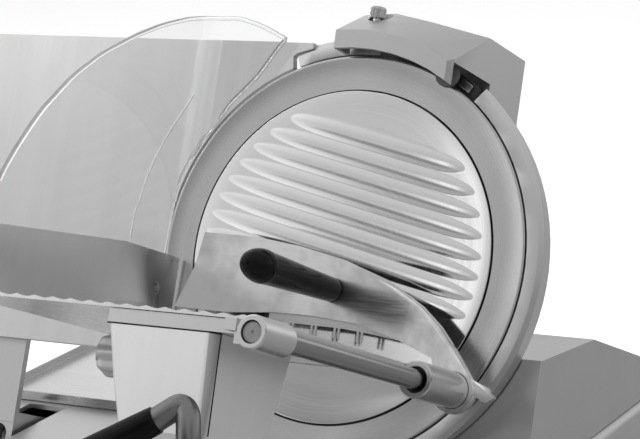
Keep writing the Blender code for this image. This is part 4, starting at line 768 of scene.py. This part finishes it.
def make_guard():
    """The clear guard with hazy cut edges. It is left out of gloss, where it turned the disc white."""
    ways = [GUARD_START + 0.220 * i / 40 for i in range(41)]
    ways += [-0.004 + 0.0802 * i / 48 for i in range(1, 49)]
    rows = 24
    front = []
    back = []
    for way in ways:
        low = smoothed(GUARD_LOW, way, LOW_SPAN)
        high = smoothed(GUARD_TOP, way, TOP_SPAN)
        ups = [low + (high - low) * i / rows for i in range(rows + 1)]
        front.append([bent_point(way, up, GUARD_THICK / 2) for up in ups])
        back.append([bent_point(way, up, -GUARD_THICK / 2) for up in ups])
    sheet = grid_solid(front, back)
    bmesh.ops.transform(sheet, matrix=LEAN, verts=sheet.verts)
    made = stand_in("hand_guard", sheet, "clear", "carriage", Matrix(), 40.0)
    made.data.materials.append(LOOK["clear_edge"])
    made.visible_glossy = False
    sheet_faces = 2 * (len(ways) - 1) * rows
    for k, face in enumerate(made.data.polygons):
        face.material_index = 1 if k >= sheet_faces else 0

    # The beads of light along the cut edges, and a whitish bead just outside the flat sheet as a painted
    # highlight
    inset = 0.0010
    rim = [bent_point(way, smoothed(GUARD_TOP, way, TOP_SPAN) - inset, 0.0) for way in ways if way > -0.215]
    rim += [bent_point(way, smoothed(GUARD_LOW, way, LOW_SPAN) + inset, 0.0) for way in reversed(ways)
            if way > 0.0]
    highlight_x = WALL_LEFT - GAP + 0.0006
    fold = smooth_curve([(highlight_x, up, out) for out, up in GUARD_FOLD_HIGHLIGHT], 6)
    for name, line, radius, look in (("hand_guard_rim", rim, 0.0017, "clear"),
                                     ("hand_guard_painted_highlight", fold, 0.0008, "fold_highlight")):
        bead = swept(line, radius, 16)
        bmesh.ops.transform(bead, matrix=LEAN, verts=bead.verts)
        piece(name, bead, look, "carriage", None, Matrix()).visible_glossy = False


# Turned pieces, trim and remodelled nodes

def ribbed(bm, lobes, depth, inner, low, high):
    """Presses grip ribs into the side of a turned shape, between two heights."""
    for vertex in bm.verts:
        radius = math.hypot(vertex.co.x, vertex.co.y)
        if radius > inner and low < vertex.co.z < high:
            angle = math.atan2(vertex.co.y, vertex.co.x)
            share = 1 - depth / radius * (0.5 - 0.5 * math.cos(lobes * angle))
            vertex.co.x *= share
            vertex.co.y *= share
    return bm


def dome(radius, low, high, steps):
    """Points of a quarter of an ellipse, from the rim up to the axis."""
    made = []
    for i in range(steps + 1):
        angle = math.pi / 2 * i / steps
        made.append((radius * math.cos(angle), low + (high - low) * math.sin(angle)))
    made[-1] = (0.0, high)
    return made


def make_feet():
    """Rubber feet that widen towards the worktop."""
    profile = [(0, 0), (0.0128, 0), (0.0140, 0.0003), (0.0150, 0.0009), (0.0166, 0.0022), (0.0170, 0.0034),
               (0.0166, 0.0060), (0.0160, 0.0072), (0.0161, 0.0078), (0.0156, 0.0096), (0.0150, 0.0108),
               (0.0130, 0.0212), (0.0126, 0.0219), (0, 0.0219)]
    for side, x in (("left", -0.318), ("right", 0.131)):
        for end, y in (("front", -0.171), ("rear", 0.156)):
            node = f"foot_{end}_{side}"
            place = UPRIGHT @ Matrix.Translation((x, y, 0))
            stand_in(node, turned(profile, 64), "rubber", "frame", place, 35.0)


def make_pusher_pieces():
    """Black grip, bush and rod of the pusher."""
    root = 0.0208
    shaft = [(0, root), (0.0080, root), (0.0086, root + 0.0005), (0.0089, root + 0.0014),
             (0.0091, root + 0.0040)]
    for i in range(1, 9):
        share = i / 8
        shaft.append((0.0091 + 0.0029 * share ** 1.15, root + 0.004 + 0.092 * share))
    shaft += [(0.01212, 0.1180), (0.01228, 0.1184)]
    shaft += dome(0.0123, 0.1190, 0.1410, 14)
    at_grip = LEAN @ Matrix.Translation((0.011, -0.028, 0))
    stand_in("pusher_grip", turned(shaft, 96), "gloss", "pusher", at_grip)
    at_rod = LEAN @ Matrix.Translation((ROD_X, ROD_UP, 0))
    bush = [(0.0087, 0.0212), (0.0091, 0.0208), (0.0127, 0.0208), (0.0130, 0.0211), (0.0130, 0.0792),
            (0.0122, 0.0800), (0.0094, 0.0800), (0.0087, 0.0793)]
    stand_in("pusher_bush", turned(bush, 96), "turned", "pusher", at_rod)
    rod = [(0, 0.0045), (0.0062, 0.0045), (0.0070, 0.0053), (0.0070, 0.2941), (0.0062, 0.2950),
           (0.0058, 0.2950), (0.0056, 0.2946), (0.0012, 0.2946), (0.0004, 0.2938), (0, 0.2938)]
    stand_in("pusher_rod", turned(rod, 96), "rod", "carriage", at_rod)


def make_handle():
    """Bent tube in front of the arm, with its black sleeve."""
    control = ((0.062, -0.284, 0.150), (0.062, -0.297, 0.150), (0.062, -0.311, 0.150),
               (0.069, -0.325, 0.156), (0.082, -0.334, 0.172), (0.0888, -0.338, 0.193),
               (0.0896, -0.3385, 0.210), (0.0896, -0.3385, 0.2177), (0.0881, -0.3350, 0.2252),
               (0.0858, -0.3317, 0.2299), (0.0828, -0.3299, 0.2326), (0.0797, -0.3304, 0.2339),
               (0.0763, -0.3328, 0.2324), (0.0685, -0.3385, 0.2273))
    path = smooth_curve([LEAN.inverted() @ (UPRIGHT @ Vector(point)) for point in control], 8)
    end = path[-1]
    way = Vector((-0.82, -0.57, 0.22)).normalized()
    path += [end + way * share for share in (0.004, 0.010, 0.0455)]
    stand_in("handle_tube", swept(path, 0.0077, 40), "tube", "carriage", LEAN, 35.0)
    sleeve = [(0.0080, 0.0013), (0.0083, 0.0010), (0.0086, 0.0010), (0.0088, 0.0014), (0.0090, 0.0040)]
    for i in range(1, 11):
        share = i / 10
        sleeve.append((0.0090 + 0.0027 * share, 0.004 + 0.0866 * share))
    sleeve += [(0.0117, 0.0916)]
    sleeve += dome(0.0117, 0.0931, 0.1061, 12) + [(0, 0.046), (0.0080, 0.046)]
    stand_in("handle_grip", turned(sleeve, 96), "gloss", "carriage", LEAN @ facing(way, end))


def make_sharpener_screw():
    """Knurled screw in its well on the sharpener."""
    screw = [(0, -0.0245), (0.0030, -0.0245), (0.0030, -0.0117), (0.0050, -0.0117), (0.0050, -0.0087),
             (0.0035, -0.0082), (0.0035, -0.0010), (0.0056, -0.0010)]
    screw += [(0.0061, -0.0004 + 0.0066 * i / 10) for i in range(11)]
    screw += [(0.0058, 0.0071), (0.0050, 0.0077), (0.0040, 0.0080), (0, 0.0080)]
    bm = ribbed(turned(screw, 208), lobes=26, depth=0.0006, inner=0.0057, low=-0.0005, high=0.0072)
    at_screw = LEAN @ facing((0, 1, 0), SCREW_PLACE)
    stand_in("sharpener_knob", bm, "turned", "sharpener_screw", at_screw)


def make_dial():
    """Ribbed dial for the thickness, with sixteen ticks and no figures."""
    dial = [(0.0053, 0), (0.0236, 0), (0.0240, 0.0004), (0.0240, 0.0034), (0.0234, 0.0040), (0.0216, 0.0041),
            (0.0210, 0.0048), (0.0208, 0.0062), (0.0207, 0.0075)]
    dial += [(0.0207 - 0.0015 * i / 6, 0.0080 + 0.0125 * i / 6) for i in range(7)]
    dial += [(0.0188, 0.0218), (0.0180, 0.0232), (0.0168, 0.0239), (0.0150, 0.0240), (0.0140, 0.0236),
             (0, 0.0236), (0, 0.018), (0.0053, 0.018)]
    at_dial = UPRIGHT @ facing((0, -1, 0), (-0.318, -0.2056, 0.062))
    bm = ribbed(turned(dial, 192), lobes=24, depth=0.0011, inner=0.0175, low=0.0070, high=0.0225)
    stand_in("thickness_knob", bm, "black", "thickness_dial", at_dial, 30.0)
    for k in range(16):
        start, half = (0.0219, 0.00028) if k % 5 == 0 else (0.0224, 0.0002)
        tick = block(start, 0.0235, -half, half, 0.0036, 0.0042)
        piece(f"dial_tick_{k + 1}", tick, "white", "thickness_dial", None,
              at_dial @ Matrix.Rotation(math.radians(18.0 * k), 4, "Z"), rounding=0.00006)


def make_ribbed_knobs():
    """The cover's knob at the back and the tray's lock knob."""
    rear = [(0, -0.1268), (0.0120, -0.1268), (0.0128, -0.1268), (0.0150, -0.1264), (0.0168, -0.1252),
            (0.0177, -0.1236), (0.0180, -0.1226)]
    rear += [(0.0180, -0.1220 + 0.0104 * i / 5) for i in range(6)]
    rear += [(0.0176, -0.1104), (0.0160, -0.1094), (0.0142, -0.1088), (0.0053, -0.1088), (0.0053, -0.1175),
             (0, -0.1175)]
    bm = ribbed(turned(rear, 160), lobes=16, depth=0.0012, inner=0.0150, low=-0.1245, high=-0.1100)
    stand_in("cover_knob", bm, "black", "cover_rod", LEAN, 30.0)

    lock = [(0, -0.014), (0.003, -0.014), (0.003, 0.001), (0.0056, 0.001), (0.006, 0.0014), (0.006, 0.0088),
            (0.0075, 0.0098), (0.0125, 0.0110), (0.0143, 0.0124), (0.0150, 0.0142)]
    lock += [(0.0150, 0.0150 + 0.0100 * i / 5) for i in range(6)]
    lock += [(0.0146, 0.0268), (0.0134, 0.0288), (0.0118, 0.0298), (0.0095, 0.0300), (0, 0.0300)]
    bm = ribbed(turned(lock, 144), lobes=8, depth=0.0022, inner=0.0120, low=0.0105, high=0.0290)
    stand_in("tray_lock_knob", bm, "cast", "tray_lock", LEAN @ facing((-1, 0, 0), LOCK_PLACE), 30.0)


def make_buttons():
    """Start and stop button and the lamp between them."""
    push = [(0, -0.0075), (0.0080, -0.0075), (0.0080, 0.0062), (0.0078, 0.0069), (0.0072, 0.0074),
            (0.0066, 0.0075), (0.0058, 0.0072), (0.0040, 0.0068), (0, 0.0066)]
    for body, x, look in (("start", 0.117, "white"), ("stop", 0.142, "red")):
        place = UPRIGHT @ facing((0, -1, 0), (x, -0.2053, 0.062))
        stand_in(body + "_button", turned(push, 72), look, body, place, 30.0)
    lamp = [(0, 0.0), (0.0030, 0.0), (0.0030, 0.0003)] + dome(0.0027, 0.0004, 0.0023, 8)
    at_lamp = UPRIGHT @ facing((0, -1, 0), (0.1295, -0.2076, 0.044))
    stand_in("run_lamp", turned(lamp, 48), "green", "frame", at_lamp, 30.0)


def make_inlet_and_screw():
    """The cable gland at the back, without a cord, and the countersunk screw in the tray's wall."""
    gland = [(0.004, 0), (0.0065, -0.008), (0.0065, 0.0), (0.0106, 0.0003), (0.0110, 0.0007),
             (0.0110, 0.0036), (0.0106, 0.0040), (0.0082, 0.0058), (0.0078, 0.0064), (0.0074, 0.0072),
             (0.0076, 0.0080), (0.0072, 0.0088), (0.0074, 0.0096), (0.0070, 0.0104), (0.0072, 0.0112),
             (0.0068, 0.0122), (0.0060, 0.0127), (0.0044, 0.0127), (0.0040, 0.0123)]
    at_inlet = UPRIGHT @ facing((0, 1, 0), (0.120, 0.190, 0.050))
    stand_in("mains_inlet", turned(gland, 64), "black", "frame", at_inlet, 30.0)
    head = [(0, -0.0058), (0.0020, -0.0058), (0.0020, -0.0021), (0.0041, -0.0001), (0.0042, 0.0001),
            (0.0039, 0.0002), (0.0021, 0.0002), (0.0019, 0.0000), (0.0018, -0.0014), (0, -0.0018)]
    at_wall = LEAN @ facing((1, 0, 0), (WALL_LEFT + WALL_THICK, -0.039, 0.029))
    stand_in("wall_screw", turned(head, 48), "turned", "carriage", at_wall)


def make_trim():
    """The arm's painted shadow lines, the ring guard's end, a painted shade ring at the cover's rim and the
    honing wheel.
    """
    # Dark tubes along the arm's creases as painted shadow
    lines = {"arm_shadow_line_top": [(ARM_LEFT + 0.002, ARM_TOP - 0.0002, ARM_OUTER - 0.0002),
                              (ARM_RIGHT - 0.004, ARM_TOP - 0.0002, ARM_OUTER - 0.0002),
                              (ARM_RIGHT + 0.0001, ARM_TOP - 0.0002, ARM_OUTER - 0.0060)],
             "arm_shadow_line_side": [(ARM_RIGHT - 0.0001, ARM_TOP, ARM_OUTER - 0.0062),
                               (ARM_RIGHT - 0.0001, -0.125, 0.2625), (ARM_RIGHT - 0.0001, -0.155, 0.2614)]}
    for name, line in lines.items():
        piece(name, swept(line, 0.0005, 12), "seam", "carriage", None, LEAN)
    ring_end = [(radius * math.cos(angle), radius * math.sin(angle))
                for radius, angles in ((0.1524, (0.968, 1.000, 1.040)), (0.1585, (1.036, 1.000, 0.972)))
                for angle in angles]
    piece("ring_end_block", prism(ring_end, -0.0115, -0.0030), "turned", "frame", None, LEAN, rounding=0.0006)
    seal = arc(0.1460, 0.80, 1.10, 16) + arc(0.1600, 1.10, 0.935, 8) + arc(0.1527, 0.930, 0.80, 8)
    piece("ring_end_seal", prism(seal, -0.0076, -0.0056), "rubber", "frame", None, LEAN)
    # A dark ring in the gap round the cover's rim, as painted shade
    steps = 150
    lip = arc(0.1239, math.radians(95), math.radians(305), steps)
    for i in range(steps + 1):
        radius = 0.1240 + 0.0014 * math.sin(math.pi * i / steps) ** 0.5
        angle = math.radians(305 - 210 * i / steps)
        lip.append((radius * math.cos(angle), radius * math.sin(angle)))
    piece("cover_rim_shade", prism(lip, -0.0015, -0.0009), "seam", "frame", None, LEAN)
    wheel = [(0.0021, 0.0), (0.0084, 0.0), (0.0090, 0.0006), (0.0090, 0.0042), (0.0084, 0.0048),
             (0.0040, 0.0048), (0.0034, 0.0042), (0.0021, 0.0042)]
    at_wheel = LEAN @ Matrix.Translation((0.0725, 0.1364, 0.0036))
    stand_in("honing_stone", turned(wheel, 72), "stone", "honing_wheel", at_wheel)


def make_remodels():
    """The castings and sheets that keep the solid's shape, with rounded edges."""
    for node, look, rounding, place in (
            ("head_casting", "head", 0.0007, LEAN), ("base_casting", "cast", 0.0015, UPRIGHT),
            ("rear_cover", "cast", 0.003, UPRIGHT), ("gauge_plate", "gauge", 0.0006, LEAN),
            ("carriage_arm", "arm", 0.0016, LEAN), ("carriage_frame", "slab", 0.0008, LEAN),
            ("tray_wall", "satin", 0.0004, LEAN), ("sharpener_housing", "smooth_cast", 0.0028, LEAN),
            ("pusher_plate", "plate", 0.0005, LEAN), ("gauge_support", "cast", 0.0008, LEAN),
            ("guide_block_left", "cast", 0.0008, UPRIGHT), ("guide_block_right", "cast", 0.0008, UPRIGHT),
            ("switch_panel", "black", 0.0008, UPRIGHT), ("slice_tray", "steel", 0.0006, UPRIGHT),
            ("slice_deflector", "steel", 0.0004, LEAN), ("bottom_plate", "steel", 0.0004, UPRIGHT),
            ("pusher_teeth", "steel", 0.0003, LEAN), ("carriage_slide_block", "bronze", 0.0008, UPRIGHT)):
        remodel(node, look, rounding, place)


# Stage

def make_stage():
    """A pale floor. It looks lighter to the eye, also through the guard, than to the object's gloss."""
    bm = block(*FLOOR_BOX)
    mesh = bpy.data.meshes.new("floor")
    bm.to_mesh(mesh)
    bm.free()
    floor = bpy.data.objects.new("floor", mesh)
    bpy.context.scene.collection.objects.link(floor)
    n = Nodes("pale_floor")
    path = n.add("ShaderNodeLightPath")
    seen = n.math("MAXIMUM", path.outputs["Is Camera Ray"], path.outputs["Is Transmission Ray"])
    colour = n.mix(seen, grey(FLOOR_BOUNCE), grey(FLOOR_SEEN))
    mesh.materials.append(n.set(Base_Color=colour, Roughness=0.7, Emission_Color=grey(1.0),
                                Emission_Strength=n.math("MULTIPLY", seen, FLOOR_LIFT)))


class WorldNodes(Nodes):
    """The same short names for the world's nodes."""

    def __init__(self, tree):
        self.tree = tree

    def toward(self, direction):
        """How far a ray runs along one direction of the room."""
        texture = self.add("ShaderNodeTexCoord")
        dot = self.add("ShaderNodeVectorMath", operation="DOT_PRODUCT")
        self.link(texture.outputs["Generated"], dot.inputs[0])
        dot.inputs[1].default_value = direction
        return dot.outputs["Value"]

    def levels(self, value, stops):
        """A level read off a short list of (value, level), for values from -1 to 1 and levels up to 2."""
        node = self.add("ShaderNodeValToRGB")
        elements = node.color_ramp.elements
        while len(elements) < len(stops):
            elements.new(0.5)
        for element, (place, level) in zip(elements, stops):
            element.position = (place + 1) / 2
            element.color = (level / 2, level / 2, level / 2, 1.0)
        self.link(self.math("MULTIPLY_ADD", value, 0.5, 0.5), node.inputs[0])
        return self.math("MULTIPLY", node.outputs[0], 2.0)


def make_world():
    """A grey room, white to the eye. Gloss sees a softbox, a window, three dim walls and a bright one."""
    world = bpy.data.worlds.new("studio")
    bpy.context.scene.world = world
    world.use_nodes = True
    n = WorldNodes(world.node_tree)
    back = n.tree.nodes["Background"]
    turn = LEAN.to_3x3()
    flute = turn @ Matrix.Rotation(RIB_TURN, 3, "Z")
    along_room = n.toward(flute @ Vector((1, 0, 0)))
    across_room = n.toward(flute @ Vector((0, 1, 0)))
    room = n.math("MULTIPLY", n.levels(along_room, ROOM_ALONG), n.levels(across_room, ROOM_ACROSS))
    box = n.math("MULTIPLY", n.spread(along_room, SOFTBOX_LEVEL, 0.0, *SOFTBOX_EDGE),
                 n.spread(across_room, 1.0, 0.0, *SOFTBOX_TOP))
    window = n.math("MULTIPLY", n.levels(along_room, WINDOW_ALONG), n.levels(across_room, WINDOW_ACROSS))
    gloss = n.math("ADD", n.math("ADD", room, box), window)
    for place, factor, outer, inner in ROOM_WALLS:
        way = (turn @ Vector(place)).normalized()
        gloss = n.math("MULTIPLY", gloss, n.spread(n.toward(way), 1.0, factor, outer, inner))
    path = n.add("ShaderNodeLightPath")
    bounced = n.math("MAXIMUM", path.outputs["Glossy Depth"], path.outputs["Diffuse Depth"])
    straight = n.math("SUBTRACT", 1.0, bounced, clamp=True)
    through = n.math("MULTIPLY", path.outputs["Is Transmission Ray"], straight)
    seen = n.math("MAXIMUM", path.outputs["Is Camera Ray"], through)
    level = n.mix(path.outputs["Is Glossy Ray"], grey(ROOM_DULL), gloss)
    n.link(n.mix(seen, level, grey(1.0)), back.inputs["Color"])
    back.inputs["Strength"].default_value = 1.0


def area_lamp(name, place, target, size, power, in_gloss):
    """A soft lamp that faces a point, in watts."""
    light = bpy.data.lights.new(name, "AREA")
    light.shape = "RECTANGLE"
    light.size, light.size_y = size
    light.energy = power
    made = bpy.data.objects.new(name, light)
    bpy.context.scene.collection.objects.link(made)
    way = Vector(target) - Vector(place)
    made.matrix_world = Matrix.Translation(place) @ way.to_track_quat("-Z", "Y").to_matrix().to_4x4()
    made.visible_glossy = in_gloss


def make_camera():
    """The camera that took the photograph, for a blade of 300 mm."""
    turn = LEAN.to_3x3()
    right = (turn @ Vector(CAMERA_RIGHT)).normalized()
    up = turn @ Vector(CAMERA_UP)
    up = (up - right * up.dot(right)).normalized()
    back = right.cross(up)
    place = Matrix((right, up, back)).transposed().to_4x4()
    place.translation = LEAN @ Vector(CAMERA_AT)
    data = bpy.data.cameras.new("camera")
    data.sensor_fit = "HORIZONTAL"
    data.sensor_width = 36.0
    data.lens = data.sensor_width * CAMERA_FOCAL / PICTURE_WIDTH
    made = bpy.data.objects.new("camera", data)
    bpy.context.scene.collection.objects.link(made)
    made.matrix_world = place
    bpy.context.scene.camera = made


dress_nodes()
make_blade()
make_cover()
make_tray()
make_guard()
make_feet()
make_pusher_pieces()
make_handle()
make_sharpener_screw()
make_dial()
make_ribbed_knobs()
make_buttons()
make_inlet_and_screw()
make_trim()
make_remodels()
make_stage()
make_world()
for lamp in LAMPS:
    area_lamp(*lamp)
make_camera()
bpy.context.scene.view_settings.view_transform = "Standard"
